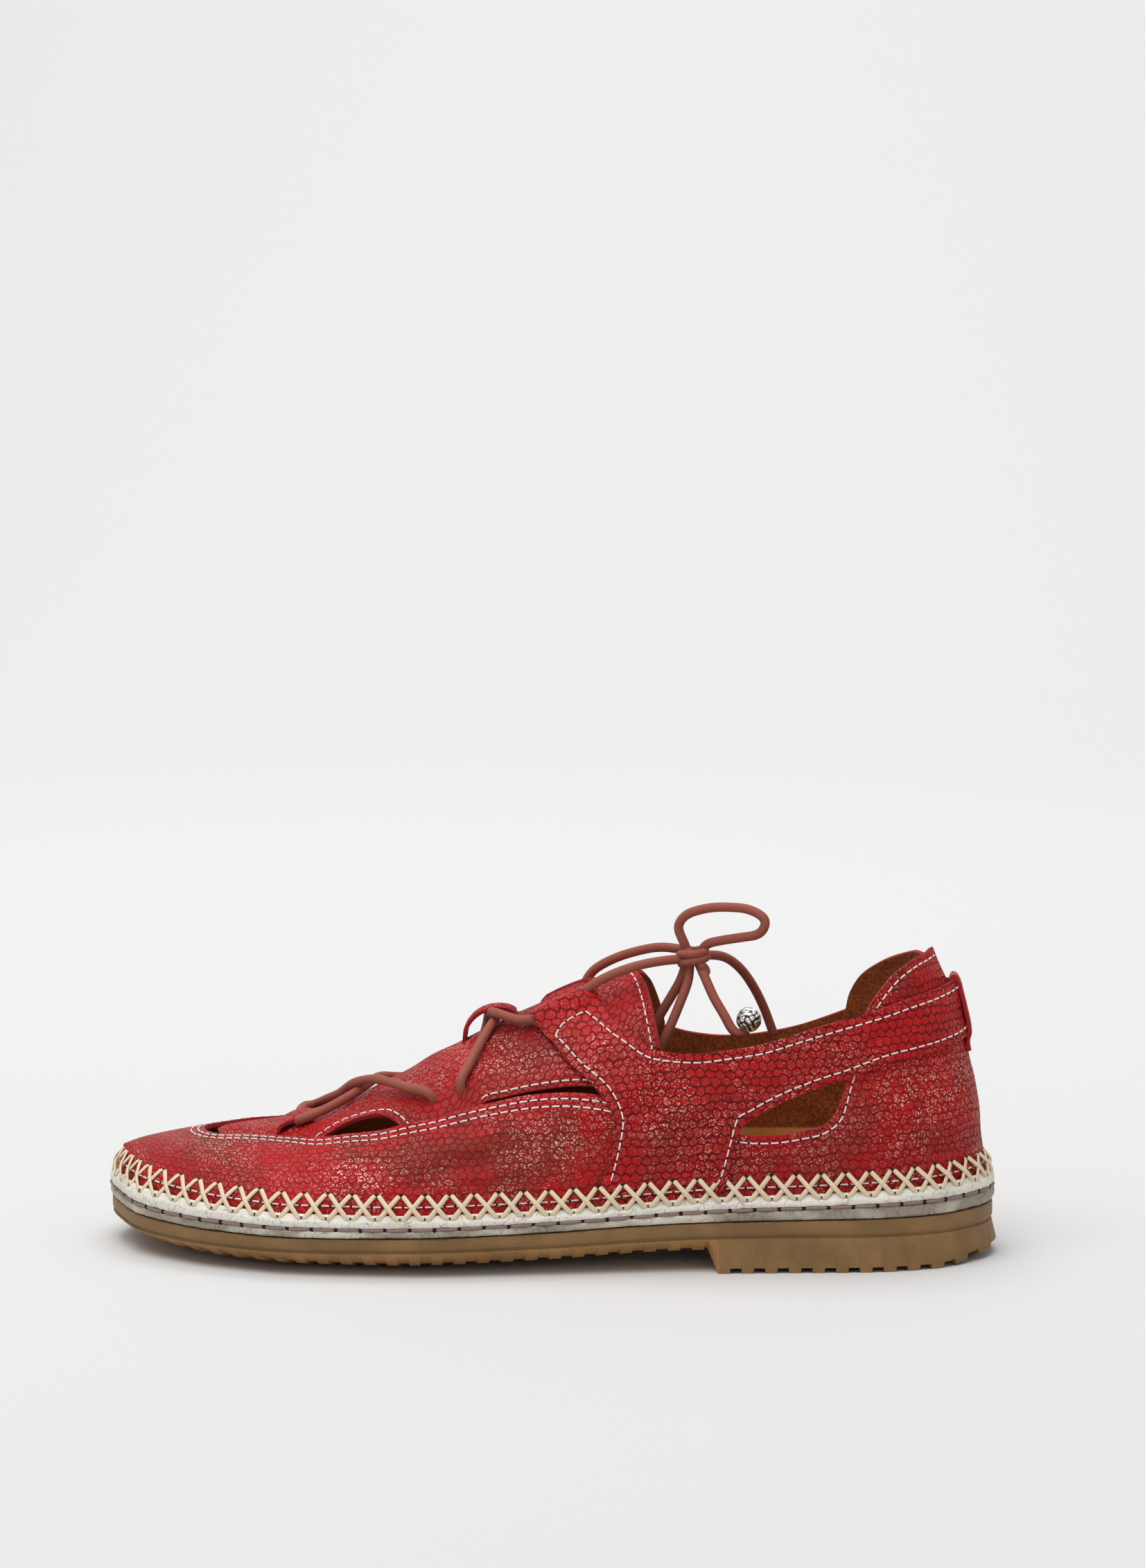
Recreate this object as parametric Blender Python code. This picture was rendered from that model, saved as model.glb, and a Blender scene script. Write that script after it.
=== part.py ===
"""Soft leather lace-up shoe for the left foot: sole, wrapped band, hollow upper, heel strap and lace.

Frame: metres, +Z up, toe at -X, heel at +X, outer (lateral) side at -Y, floor at z = 0.
All sizes below are in millimetres and are turned into metres when a mesh is made.
"""
import math

import bmesh
import bpy
import numpy as np
from mathutils import Vector

MM = 0.001

for old in list(bpy.data.objects):
    bpy.data.objects.remove(old, do_unlink=True)

# Driving sizes
BAND_LENGTH = 261.4
TOE_X = -BAND_LENGTH / 2.0
SIDE_SHIFT = 1.75
WALL = 2.0
TOUCH_GAP = 0.3
FEATHER_INSET = 3.2
FLARE = 1.2
FLARE_HEIGHT = 3.5
UPPER_LIFT = 0.95
INSOLE_INSET = 6.6
INSOLE_THICKNESS = 3.0
TONGUE_THICKNESS = 1.8
STRAP_THICKNESS = 1.6
LOOP_THICKNESS = 1.2
LOOP_WIDTH = 7.0
KEEPER_THICKNESS = 1.3
KEEPER_WIDTH = 7.0
LACE_RADIUS = 1.4
LUG_PITCH = 6.8
LUG_NOTCH = 3.3
LUG_DEPTH = 1.2
HEEL_FLARE = 1.2
BREAST_FRONT = 179.0
BREAST_BACK = 181.5
BEAD_RADIUS = 3.8

STATIONS = 40
EXTRA_STATIONS = (134.0, 137.5, 141.0, 144.0, 147.0, 150.0, 154.0)
WALL_STEPS = 9

# Plan outline of the wrapped band: distance behind the toe, edge of each side
OUTLINE_COLUMNS = ("along", "lateral", "medial")
OUTLINE_ROWS = (
    (0.0, 8.0, 8.0),
    (4.0, -7.0, 21.5),
    (11.0, -20.0, 29.5),
    (22.0, -29.5, 36.0),
    (35.0, -37.4, 40.5),
    (62.0, -46.4, 44.5),
    (91.0, -48.0, 43.0),
    (131.0, -43.0, 34.0),
    (171.0, -36.6, 28.5),
    (201.0, -33.6, 28.8),
    (224.0, -31.6, 29.0),
    (243.0, -25.8, 25.0),
    (255.0, -15.6, 15.4),
    (261.4, 0.0, 0.0),
)

# Side heights of the sole and band, and the tread's height on its middle line
SOLE_COLUMNS = ("along", "tread", "edge", "groove", "silver", "seam", "top")
SOLE_ROWS = (
    (0.0, 3.6, 5.0, 9.2, 13.2, 16.6, 20.2),
    (18.0, 1.7, 3.4, 7.6, 11.6, 14.6, 18.8),
    (36.0, 0.5, 2.6, 7.2, 11.1, 14.0, 17.7),
    (58.0, 0.0, 2.5, 7.2, 11.0, 13.8, 17.0),
    (88.0, 0.0, 2.5, 7.6, 11.4, 14.0, 17.0),
    (110.0, 0.6, 2.8, 8.0, 11.8, 14.5, 17.4),
    (134.0, 1.9, 3.6, 8.6, 12.6, 15.4, 18.0),
    (157.0, 3.4, 4.8, 9.6, 13.8, 16.6, 19.4),
    (178.0, 4.6, 5.4, 10.2, 14.5, 17.5, 20.7),
    (210.0, 4.6, 5.4, 10.4, 15.0, 18.2, 21.6),
    (240.0, 4.6, 5.4, 10.4, 15.3, 18.8, 22.9),
    (261.4, 4.6, 5.4, 10.4, 15.5, 19.2, 23.9),
)

# Last: where the wall of each section would close at the top, and how it leans in
CROWN_COLUMNS = ("along", "crown_along", "lateral", "medial", "height", "lean")
CROWN_ROWS = (
    (0.0, 3.5, 8.0, 8.0, 27.4, 1.0),
    (7.0, 9.5, 8.4, 8.4, 29.2, 1.0),
    (20.0, 21.0, 8.6, 8.6, 31.6, 1.0),
    (36.0, 36.5, 8.0, 8.0, 34.0, 1.0),
    (52.0, 52.0, 6.8, 6.8, 36.2, 1.05),
    (66.0, 66.0, 5.4, 5.4, 40.4, 1.1),
    (85.0, 85.0, 4.0, 4.0, 49.4, 1.15),
    (100.0, 100.0, 3.0, 3.0, 58.2, 1.2),
    (126.0, 126.0, 2.0, 2.0, 71.4, 1.3),
    (141.0, 141.0, 2.0, 2.0, 78.6, 1.3),
    (157.0, 156.0, 2.0, 2.0, 84.0, 1.3),
    (170.0, 164.0, -15.0, 15.0, 86.0, 1.3),
    (190.0, 182.0, -23.5, 21.5, 88.0, 1.3),
    (215.0, 204.0, -24.0, 22.5, 90.0, 1.45),
    (236.0, 222.0, -19.0, 18.5, 90.5, 1.7),
    (252.0, 236.0, -10.0, 10.0, 90.5, 1.9),
    (261.4, 242.8, 0.0, 0.0, 90.5, 2.0),
)

# Collar line, by the distance of its own point behind the toe
COLLAR_COLUMNS = ("along", "lateral", "medial")
COLLAR_ROWS = (
    (141.0, 79.2, 79.2),
    (145.0, 77.0, 77.4),
    (150.0, 70.2, 71.2),
    (156.0, 66.0, 67.0),
    (161.0, 63.8, 64.0),
    (168.0, 62.9, 60.9),
    (176.0, 62.9, 59.3),
    (183.0, 64.0, 58.8),
    (194.0, 65.8, 59.8),
    (204.0, 68.9, 62.0),
    (218.0, 72.9, 67.0),
    (224.0, 75.2, 74.6),
    (228.7, 81.5, 81.5),
    (233.0, 85.9, 85.9),
    (237.5, 88.4, 88.4),
    (243.0, 90.2, 90.2),
    (261.4, 90.4, 90.4),
)
THROAT_ALONG = 139.0

# Heel strap: lower and upper edge, and how much lower it runs on the inner side
STRAP_COLUMNS = ("along", "low", "high", "inner_drop")
STRAP_ROWS = (
    (199.0, 49.6, 66.4, 6.2),
    (210.0, 54.2, 70.0, 6.7),
    (219.0, 57.0, 72.6, 5.6),
    (226.0, 59.2, 74.8, 4.4),
    (240.0, 62.6, 78.6, 1.9),
    (250.0, 64.3, 80.6, 0.6),
    (261.4, 65.6, 82.5, 0.0),
)

# Tongue: lowest height of its side edges by the distance behind the toe
TONGUE_COLUMNS = ("along", "edge")
TONGUE_ROWS = (
    (116.0, 56.0),
    (130.0, 57.0),
    (145.0, 56.0),
    (157.0, 58.0),
)

# Rear cut-out of the outer side, corners in the side view: along, height
CUTOUT_ROWS = (
    (187.4, 41.6),
    (196.5, 40.5),
    (205.2, 41.2),
    (211.2, 42.6),
    (214.7, 46.1),
    (216.6, 51.0),
    (217.6, 56.0),
    (209.7, 53.6),
    (198.6, 48.9),
    (192.1, 45.3),
)

# Half-moon openings of the apron in plan: along, outer and inner edge from the middle line
MOON_ROWS = (
    (64.0, 21.6, 20.9),
    (71.5, 26.0, 20.8),
    (77.6, 28.6, 22.1),
    (83.9, 30.6, 25.0),
    (87.4, 31.4, 28.4),
    (90.0, 31.9, 31.2),
)
MOON_MIDDLE = 2.0

# Toe opening in plan: across, front and rear edge
TOE_SLIT_ROWS = (
    (-5.5, 39.5, 40.3),
    (0.0, 30.5, 35.2),
    (8.0, 27.6, 33.0),
    (16.0, 30.5, 35.2),
    (21.5, 39.5, 40.3),
)

# Lace crossings on the apron: along, across, and lift of the lace's middle over the leather
CROSS_FRONT_LOW = (
    (58.7, -9.0, 1.9),
    (65.0, -7.0, 1.9),
    (69.5, -4.6, 1.9),
    (74.0, -2.0, 1.9),
    (77.6, 1.6, 1.85),
    (79.6, 8.0, 1.8),
    (81.2, 15.0, 1.8),
    (84.0, 21.5, 1.8),
    (90.0, 26.0, 1.8),
    (98.5, 27.0, 1.8),
)
CROSS_FRONT_HIGH = (
    (58.7, 24.0, 1.8),
    (64.0, 18.5, 1.8),
    (68.5, 11.5, 1.9),
    (71.8, 5.2, 3.0),
    (74.6, 1.2, 4.1),
    (78.0, -2.2, 4.4),
    (81.6, -5.8, 4.2),
    (87.6, -13.6, 3.2),
    (93.0, -20.0, 2.4),
    (98.4, -24.8, 1.9),
)
CROSS_REAR_LOW = (
    (106.8, -25.0, 1.9),
    (109.0, -19.5, 1.9),
    (111.4, -13.5, 1.9),
    (113.6, -7.5, 1.9),
    (115.4, -2.4, 1.85),
    (117.0, 3.0, 1.8),
    (120.2, 10.0, 1.8),
    (124.6, 14.6, 1.8),
    (128.5, 15.2, 1.8),
)
CROSS_REAR_HIGH = (
    (107.0, 25.0, 1.8),
    (110.4, 17.0, 1.8),
    (112.6, 9.5, 2.1),
    (114.2, 3.8, 3.3),
    (115.8, -0.6, 4.2),
    (118.2, -4.0, 3.9),
    (121.4, -7.2, 2.7),
    (125.0, -9.6, 1.9),
    (128.0, -10.6, 1.9),
)

# Lace past the quarters: knot, loops and ends as places along, across and up
KNOT_MIDDLE = (173.2, -2.0, 86.8)
KNOT_HALF = (4.7, 3.7, 3.7)
RUN_START = 1.75
TUNNEL_LATERAL = (137.4, -9.6)
TUNNEL_MEDIAL = (137.4, 13.6)
RUN_LATERAL = (
    (142.4, -10.4, 78.5),
    (148.4, -10.6, 82.1),
    (157.0, -9.0, 85.1),
    (164.0, -6.6, 86.2),
    (173.2, -3.4, 86.6),
)
RUN_MEDIAL = (
    (143.1, 13.4, 79.9),
    (149.2, 11.4, 83.8),
    (156.2, 8.6, 86.6),
    (163.0, 5.2, 88.4),
    (173.2, 0.4, 88.0),
)
LOOP_TOP = (
    (172.0, -2.0, 87.0),
    (170.2, -2.0, 91.6),
    (168.6, -2.0, 95.6),
    (170.4, -3.0, 98.8),
    (175.8, -5.0, 101.3),
    (184.0, -8.0, 102.4),
    (190.4, -10.0, 101.8),
    (194.6, -11.0, 98.9),
    (193.2, -10.2, 95.4),
    (187.5, -8.0, 93.6),
    (181.0, -5.4, 92.1),
    (176.4, -3.0, 90.2),
    (175.0, -2.4, 87.0),
)
LOOP_HANGING = (
    (171.6, -3.0, 86.8),
    (169.8, -3.0, 80.6),
    (166.6, -3.2, 74.8),
    (163.0, -3.6, 68.6),
    (160.2, -4.6, 62.0),
    (159.8, -6.6, 57.8),
    (161.0, -9.4, 55.8),
    (162.8, -11.2, 57.6),
    (163.8, -11.6, 61.2),
    (166.8, -10.2, 67.6),
    (169.8, -7.6, 74.8),
    (171.9, -5.4, 80.6),
    (172.2, -4.0, 86.6),
)
END_FAR = (
    (173.2, -1.0, 86.8),
    (178.0, 1.6, 86.8),
    (182.2, 6.6, 85.4),
    (186.4, 11.6, 81.6),
    (190.2, 15.6, 75.8),
    (193.4, 18.4, 69.0),
    (195.8, 19.8, 62.4),
    (196.6, 20.2, 60.0),
)
END_BEAD = (
    (171.0, -2.2, 88.8),
    (173.9, -3.6, 86.6),
    (176.3, -7.0, 82.5),
    (179.6, -10.5, 75.9),
    (182.9, -12.8, 70.8),
    (185.2, -14.4, 67.0),
    (186.6, -15.0, 66.0),
)
BEAD_MIDDLE = (189.7, -14.8, 70.5)


class Table:
    """Rows of named columns, read between rows by a smooth curve over the section angle."""

    def __init__(self, columns, rows, wrap=True):
        self.columns = columns
        self.values = np.array(rows, dtype=float)
        self.wrap = wrap
        self.keys = np.array([self.key(row[0]) for row in rows])
        self.slopes = np.array([self.soft_slope(track) for track in self.values.T]).T

    def soft_slope(self, track):
        """Slope at each row that never swings past the rows on either side."""
        steps = np.diff(track) / np.diff(self.keys)
        slope = np.zeros(len(track))
        for i in range(1, len(track) - 1):
            if steps[i - 1] * steps[i] > 0.0:
                slope[i] = 2.0 * steps[i - 1] * steps[i] / (steps[i - 1] + steps[i])
        slope[0] = 1.5 * steps[0] - 0.5 * slope[1]
        slope[-1] = 1.5 * steps[-1] - 0.5 * slope[-2]
        return slope

    def key(self, along):
        if not self.wrap:
            return along
        ratio = min(max(1.0 - 2.0 * along / BAND_LENGTH, -1.0), 1.0)
        return math.acos(ratio)

    def at_key(self, column, key):
        place = self.columns.index(column)
        track = self.values[:, place]
        slope = self.slopes[:, place]
        keys = self.keys
        key = min(max(key, keys[0]), keys[-1])
        row = int(min(max(np.searchsorted(keys, key) - 1, 0), len(keys) - 2))
        span = keys[row + 1] - keys[row]
        s = (key - keys[row]) / span
        start = (2 * s**3 - 3 * s**2 + 1) * track[row] + (s**3 - 2 * s**2 + s) * span * slope[row]
        end = (-2 * s**3 + 3 * s**2) * track[row + 1] + (s**3 - s**2) * span * slope[row + 1]
        return start + end

    def at(self, column, along):
        return self.at_key(column, self.key(along))


outline_table = Table(OUTLINE_COLUMNS, OUTLINE_ROWS)
sole_table = Table(SOLE_COLUMNS, SOLE_ROWS, wrap=False)
crown_table = Table(CROWN_COLUMNS, CROWN_ROWS)
collar_table = Table(COLLAR_COLUMNS, COLLAR_ROWS, wrap=False)
strap_table = Table(STRAP_COLUMNS, STRAP_ROWS, wrap=False)
tongue_table = Table(TONGUE_COLUMNS, TONGUE_ROWS, wrap=False)
SIDES = ("lateral", "medial")


def angle_of(along):
    return outline_table.key(along)


def along_of(angle):
    return BAND_LENGTH * (1.0 - math.cos(angle)) / 2.0


def outline_point(angle, side):
    return np.array([along_of(angle), outline_table.at_key(side, angle)])


def outward(angle, side):
    """Unit plan normal of the outline, pointing out of the shoe."""
    low = max(angle - 0.01, 0.0)
    high = min(angle + 0.01, math.pi)
    if low == 0.0:
        return np.array([-1.0, 0.0]) if angle < 1e-6 else bend_out(low, angle + 0.01, side)
    if high == math.pi:
        return np.array([1.0, 0.0]) if angle > math.pi - 1e-6 else bend_out(angle - 0.01, high, side)
    return bend_out(low, high, side)


def bend_out(low, high, side):
    run = outline_point(high, side) - outline_point(low, side)
    normal = np.array([run[1], -run[0]]) if side == "lateral" else np.array([-run[1], run[0]])
    return normal / np.linalg.norm(normal)


def band_edge(angle, side, inset):
    return outline_point(angle, side) - inset * outward(angle, side)


def last_point(angle, side, rise):
    """Point of the upper's outer face: rise 0 at the feather line, 1 where the section closes."""
    along = along_of(angle)
    foot = band_edge(angle, side, FEATHER_INSET)
    base = sole_table.at("top", along) + UPPER_LIFT
    turn = rise * math.pi / 2.0
    lean = crown_table.at_key("lean", angle)
    inward = 1.0 - math.cos(turn) ** lean
    crown = np.array([crown_table.at_key("crown_along", angle), crown_table.at_key(side, angle)])
    plan = foot + (crown - foot) * inward
    climb = (crown_table.at_key("height", angle) - base) * math.sin(turn)
    plan = plan + outward(angle, side) * FLARE * math.cos(turn) * math.exp(-climb / FLARE_HEIGHT)
    return np.array([plan[0], plan[1], base + climb])


def rise_at(angle, side, level):
    """Rise at which the wall meets a level, given as a function of the distance behind the toe."""
    low, high = 0.0, 1.0
    top = last_point(angle, side, 1.0)
    if top[2] <= level(top[0]):
        return 1.0
    for _ in range(40):
        middle = (low + high) / 2.0
        point = last_point(angle, side, middle)
        if point[2] < level(point[0]):
            low = middle
        else:
            high = middle
    return (low + high) / 2.0


def apron_height(along, across):
    """Height of the apron's outer face over a place in plan."""
    angle = angle_of(along)
    side = "lateral" if across < crown_table.at_key("lateral", angle) else "medial"
    low, high = 0.0, 1.0
    sign = -1.0 if side == "lateral" else 1.0
    for _ in range(40):
        middle = (low + high) / 2.0
        if sign * last_point(angle, side, middle)[1] > sign * across:
            low = middle
        else:
            high = middle
    return last_point(angle, side, (low + high) / 2.0)[2]


def to_world(point):
    return Vector(((point[0] + TOE_X) * MM, (point[1] + SIDE_SHIFT) * MM, point[2] * MM))


def material(name, colour, roughness, metallic):
    made = bpy.data.materials.new(name)
    made.use_nodes = True
    shader = made.node_tree.nodes["Principled BSDF"]
    shader.inputs["Base Color"].default_value = (*colour, 1.0)
    shader.inputs["Roughness"].default_value = roughness
    shader.inputs["Metallic"].default_value = metallic
    return made


GUM = material("gum_rubber", (0.20, 0.10, 0.04), 0.6, 0.0)
FOIL_LIGHT = material("foil_leather_light", (0.55, 0.50, 0.44), 0.4, 0.5)
FOIL_GREY = material("foil_leather_grey", (0.42, 0.38, 0.34), 0.4, 0.5)
RED_LEATHER = material("red_embossed_leather", (0.40, 0.02, 0.03), 0.42, 0.0)
TAN_LEATHER = material("tan_leather", (0.36, 0.20, 0.09), 0.6, 0.0)
CORD = material("elastic_cord", (0.22, 0.06, 0.04), 0.7, 0.0)
METAL = material("bead_metal", (0.62, 0.60, 0.56), 0.3, 1.0)


def add_mesh(name, form, colour):
    mesh = bpy.data.meshes.new(name)
    form.to_mesh(mesh)
    form.free()
    mesh.materials.append(colour)
    item = bpy.data.objects.new(name, mesh)
    bpy.context.scene.collection.objects.link(item)
    return item


def loft(sections, closed=True, capped=True):
    """Mesh through sections of equally many points; points that meet are merged."""
    form = bmesh.new()
    rings = [[form.verts.new(to_world(point)) for point in section] for section in sections]
    count = len(rings[0])
    for ring, following in zip(rings, rings[1:]):
        for i in range(count if closed else count - 1):
            j = (i + 1) % count
            form.faces.new((ring[i], ring[j], following[j], following[i]))
    if capped:
        form.faces.new(list(reversed(rings[0])))
        form.faces.new(rings[-1])
    bmesh.ops.remove_doubles(form, verts=form.verts, dist=2e-6)
    flat = [face for face in form.faces if face.calc_area() < 1e-12]
    bmesh.ops.delete(form, geom=flat, context="FACES_ONLY")
    bmesh.ops.recalc_face_normals(form, faces=form.faces)
    return form


def section_angles(first=0.0, last=BAND_LENGTH, count=STATIONS, extra=()):
    """Angles of the sections between two distances behind the toe."""
    steps = list(np.linspace(angle_of(first), angle_of(last), count + 1))
    steps += [angle_of(along) for along in extra if first < along < last]
    steps = sorted(steps)
    kept = [steps[0]]
    for step in steps[1:-1]:
        if step - kept[-1] > 0.012 and steps[-1] - step > 0.012:
            kept.append(step)
    return kept + [steps[-1]]


def plate(name, profile, colour, extra=()):
    """Closed plate over the whole outline: profile gives (inset, height) from bottom to top."""
    sections = []
    for angle in section_angles(extra=extra):
        along = along_of(angle)
        rows = profile(along)
        ring = []
        for inset, height in rows:
            ring.append((*edge_inside(angle, "lateral", inset), height))
        for inset, height in reversed(rows):
            ring.append((*edge_inside(angle, "medial", inset), height))
        sections.append(ring)
    return add_mesh(name, loft(sections, capped=False), colour)


def edge_inside(angle, side, inset):
    """Outline point moved in by an inset, never past the middle of its section."""
    point = band_edge(angle, side, inset)
    other = band_edge(angle, SIDES[1 - SIDES.index(side)], inset)
    if (other[1] - point[1]) * (1.0 if side == "lateral" else -1.0) < 0.0:
        point = np.array([point[0], (point[1] + other[1]) / 2.0])
    return point


# Outsole: bevelled forefoot, arch, heel with a breast
def outsole_profile(along):
    groove = sole_table.at("groove", along)
    top = sole_table.at("silver", along)
    if along <= (BREAST_FRONT + BREAST_BACK) / 2.0:
        tread = sole_table.at("tread", along)
        edge = sole_table.at("edge", along)
        return ((16.0, tread), (7.0, edge), (0.4, groove), (0.2, top))
    return ((6.0, 0.0), (-HEEL_FLARE, 0.0), (0.0, groove), (0.2, top))


def lug_cutter():
    """Cross bars that cut the heel's bottom into lugs."""
    form = bmesh.new()
    along = BREAST_BACK + LUG_PITCH
    while along < BAND_LENGTH - 8.0:
        made = bmesh.ops.create_cube(form, size=1.0)["verts"]
        bmesh.ops.scale(form, verts=made, vec=Vector((LUG_NOTCH, 120.0, 2.0 * LUG_DEPTH)) * MM)
        bmesh.ops.translate(form, verts=made, vec=to_world((along, 0.0, 0.0)))
        along += LUG_PITCH
    return add_mesh("lug_cutter", form, GUM)


def combine(item, other, operation):
    """Cuts a form out of a piece or joins it on; the form itself stays hidden."""
    modifier = item.modifiers.new("with_" + other.name, "BOOLEAN")
    modifier.operation = operation
    modifier.solver = "EXACT"
    modifier.object = other
    other.hide_render = True
    other.display_type = "WIRE"


def cut(item, cutter):
    combine(item, cutter, "DIFFERENCE")


outsole = plate("outsole", outsole_profile, GUM, extra=(BREAST_FRONT, BREAST_BACK))
cut(outsole, lug_cutter())


# Wrapped band in two strips and the insole
def strip_profile(bottom, top, along):
    low = sole_table.at(bottom, along) + TOUCH_GAP
    high = sole_table.at(top, along)
    return ((0.7, low), (0.0, low + 0.9), (0.0, high - 1.0), (0.9, high))


midsole = plate("midsole", lambda along: strip_profile("silver", "seam", along), FOIL_GREY)
rand = plate("rand", lambda along: strip_profile("seam", "top", along), FOIL_LIGHT)


def insole_profile(along):
    base = sole_table.at("top", along) + TOUCH_GAP
    return ((INSOLE_INSET, base), (INSOLE_INSET, base + INSOLE_THICKNESS))


insole = plate("insole", insole_profile, TAN_LEATHER)


# Upper: the wall of every section up to the collar, then its thickness and openings
def collar_rise(angle, side):
    if crown_table.at_key("crown_along", angle) < THROAT_ALONG:
        return 1.0
    return rise_at(angle, side, lambda along: collar_table.at(side, along))


def wall_ring(angle, top_rise):
    """Section of the wall from the outer side's foot over the top to the inner side's foot."""
    shares = [k / WALL_STEPS for k in range(WALL_STEPS + 1)]
    ring = [last_point(angle, "lateral", top_rise["lateral"] * share) for share in shares]
    ring += [last_point(angle, "medial", top_rise["medial"] * share) for share in reversed(shares)]
    return ring


def upper_sheet():
    form = bmesh.new()
    sections = []
    opened = []
    for angle in section_angles(extra=EXTRA_STATIONS):
        rises = {side: collar_rise(angle, side) for side in SIDES}
        sections.append([form.verts.new(to_world(point)) for point in wall_ring(angle, rises)])
        opened.append(crown_table.at_key("crown_along", angle) >= THROAT_ALONG)
    for ring, following, is_open in zip(sections, sections[1:], opened[1:]):
        for k in range(2 * WALL_STEPS + 1):
            if k == WALL_STEPS and is_open:
                continue
            form.faces.new((ring[k], ring[k + 1], following[k + 1], following[k]))
    bmesh.ops.remove_doubles(form, verts=form.verts, dist=2e-6)
    flat = [face for face in form.faces if face.calc_area() < 1e-12]
    bmesh.ops.delete(form, geom=flat, context="FACES_ONLY")
    bmesh.ops.recalc_face_normals(form, faces=form.faces)
    return form


def thicken(item, thickness, outside):
    modifier = item.modifiers.new("thickness", "SOLIDIFY")
    modifier.thickness = thickness * MM
    modifier.offset = 1.0 if outside else -1.0
    modifier.use_even_offset = True


def prism(name, corners, start, end, axis):
    """Cutter with its corners in a view plane, drawn between two places on the axis."""
    sections = []
    for place in (start, end):
        if axis == "Y":
            sections.append([(a, place, b) for a, b in corners])
        else:
            sections.append([(a, b, place) for a, b in corners])
    return add_mesh(name, loft(sections), RED_LEATHER)


def moon_corners(sign):
    outer = [(along, MOON_MIDDLE + sign * out) for along, out, inn in MOON_ROWS]
    inner = [(along, MOON_MIDDLE + sign * inn) for along, out, inn in reversed(MOON_ROWS)]
    return outer + inner


upper = add_mesh("upper", upper_sheet(), RED_LEATHER)
thicken(upper, WALL, outside=False)
cut(upper, prism("cutout_cutter", CUTOUT_ROWS, -60.0, -12.0, "Y"))
cut(upper, prism("moon_lateral_cutter", moon_corners(-1.0), 30.0, 60.0, "Z"))
cut(upper, prism("moon_medial_cutter", moon_corners(1.0), 30.0, 60.0, "Z"))
TOE_SLIT_RING = [(front, across) for across, front, rear in TOE_SLIT_ROWS]
TOE_SLIT_RING += [(rear, across) for across, front, rear in reversed(TOE_SLIT_ROWS)]
cut(upper, prism("toe_slit_cutter", TOE_SLIT_RING, 27.0, 60.0, "Z"))


# Tongue: the apron's rear end, under the quarters
def shifted(form, distance):
    """Moves a sheet along its own normals."""
    form.normal_update()
    moves = [(vert, vert.normal.copy()) for vert in form.verts]
    for vert, normal in moves:
        vert.co += normal * distance * MM
    return form


def facing_out(form, inside):
    """Turns a sheet so that its faces look away from a point inside the shoe."""
    form.normal_update()
    away = sum(face.normal.dot(face.calc_center_median() - to_world(inside)) for face in form.faces)
    if away < 0.0:
        bmesh.ops.reverse_faces(form, faces=form.faces)
    return form


def tongue_sheet():
    sections = []
    for along in np.linspace(TONGUE_ROWS[0][0], TONGUE_ROWS[-1][0], 8):
        angle = angle_of(along)
        level = tongue_table.at("edge", along)
        ring = []
        for side in SIDES:
            low = rise_at(angle, side, lambda place: level)
            steps = [low + (1.0 - low) * k / 7 for k in range(8)]
            points = [last_point(angle, side, step) for step in steps]
            ring += points if side == "lateral" else points[-2::-1]
        sections.append(ring)
    return loft(sections, closed=False, capped=False)


sheet = facing_out(tongue_sheet(), (136.0, 2.0, 40.0))
tongue = add_mesh("tongue", shifted(sheet, -WALL - TOUCH_GAP - 0.2), RED_LEATHER)
thicken(tongue, TONGUE_THICKNESS, outside=False)


# Heel strap: a second wall between two lines of the upper's own face
def strap_edge(name, side):
    """Height of one edge of the strap along a side."""
    if side == "lateral":
        return lambda along: strap_table.at(name, along)
    return lambda along: strap_table.at(name, along) - strap_table.at("inner_drop", along)


def strap_sheet():
    angles = section_angles(STRAP_ROWS[0][0], BAND_LENGTH, 12)
    halves = {}
    for side in SIDES:
        halves[side] = []
        for angle in angles:
            low = rise_at(angle, side, strap_edge("low", side))
            high = rise_at(angle, side, strap_edge("high", side))
            steps = [low + (high - low) * k / 4 for k in range(5)]
            halves[side].append([last_point(angle, side, step) for step in steps])
    return loft(halves["lateral"] + halves["medial"][-2::-1], closed=False, capped=False)


sheet = facing_out(strap_sheet(), (230.0, 0.0, 60.0))
heel_strap = add_mesh("heel_strap", shifted(sheet, TOUCH_GAP + 0.05), RED_LEATHER)
thicken(heel_strap, STRAP_THICKNESS, outside=True)


# Heel loop: a narrow band over the strap at the back seam
def heel_loop_form():
    outer = []
    inner = []
    stand_off = TOUCH_GAP + 0.05 + STRAP_THICKNESS + TOUCH_GAP
    for level in (60.5, 64.0, 68.0, 72.0, 76.0, 80.0, 83.6):
        rise = rise_at(math.pi, "lateral", lambda along: level)
        back = last_point(math.pi, "lateral", rise)[0]
        inner.append((back + stand_off, level))
        outer.append((back + stand_off + LOOP_THICKNESS, level + 0.2))
    corners = outer + inner[::-1]
    return loft([[(a, place, b) for a, b in corners] for place in (-LOOP_WIDTH / 2.0, LOOP_WIDTH / 2.0)])


heel_loop = add_mesh("heel_loop", heel_loop_form(), RED_LEATHER)


# Lace keepers: leather arches on the apron's middle line
def keeper(name, start, end, across, crest):
    half = KEEPER_WIDTH / 2.0
    inner = []
    outer = []
    for k in range(13):
        s = k / 12.0
        along = start + (end - start) * s
        floor = max(apron_height(along, across + place) for place in (-half, 0.0, half)) + TOUCH_GAP
        arch = math.sin(math.pi * s) ** 0.6
        inner.append((along, floor + crest * arch))
        outer.append((along, floor + 0.6 + (crest + KEEPER_THICKNESS - 0.6) * arch))
    corners = outer + inner[::-1]
    sections = [[(a, across + place, b) for a, b in corners] for place in (-half, half)]
    return add_mesh(name, loft(sections), RED_LEATHER)


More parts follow.
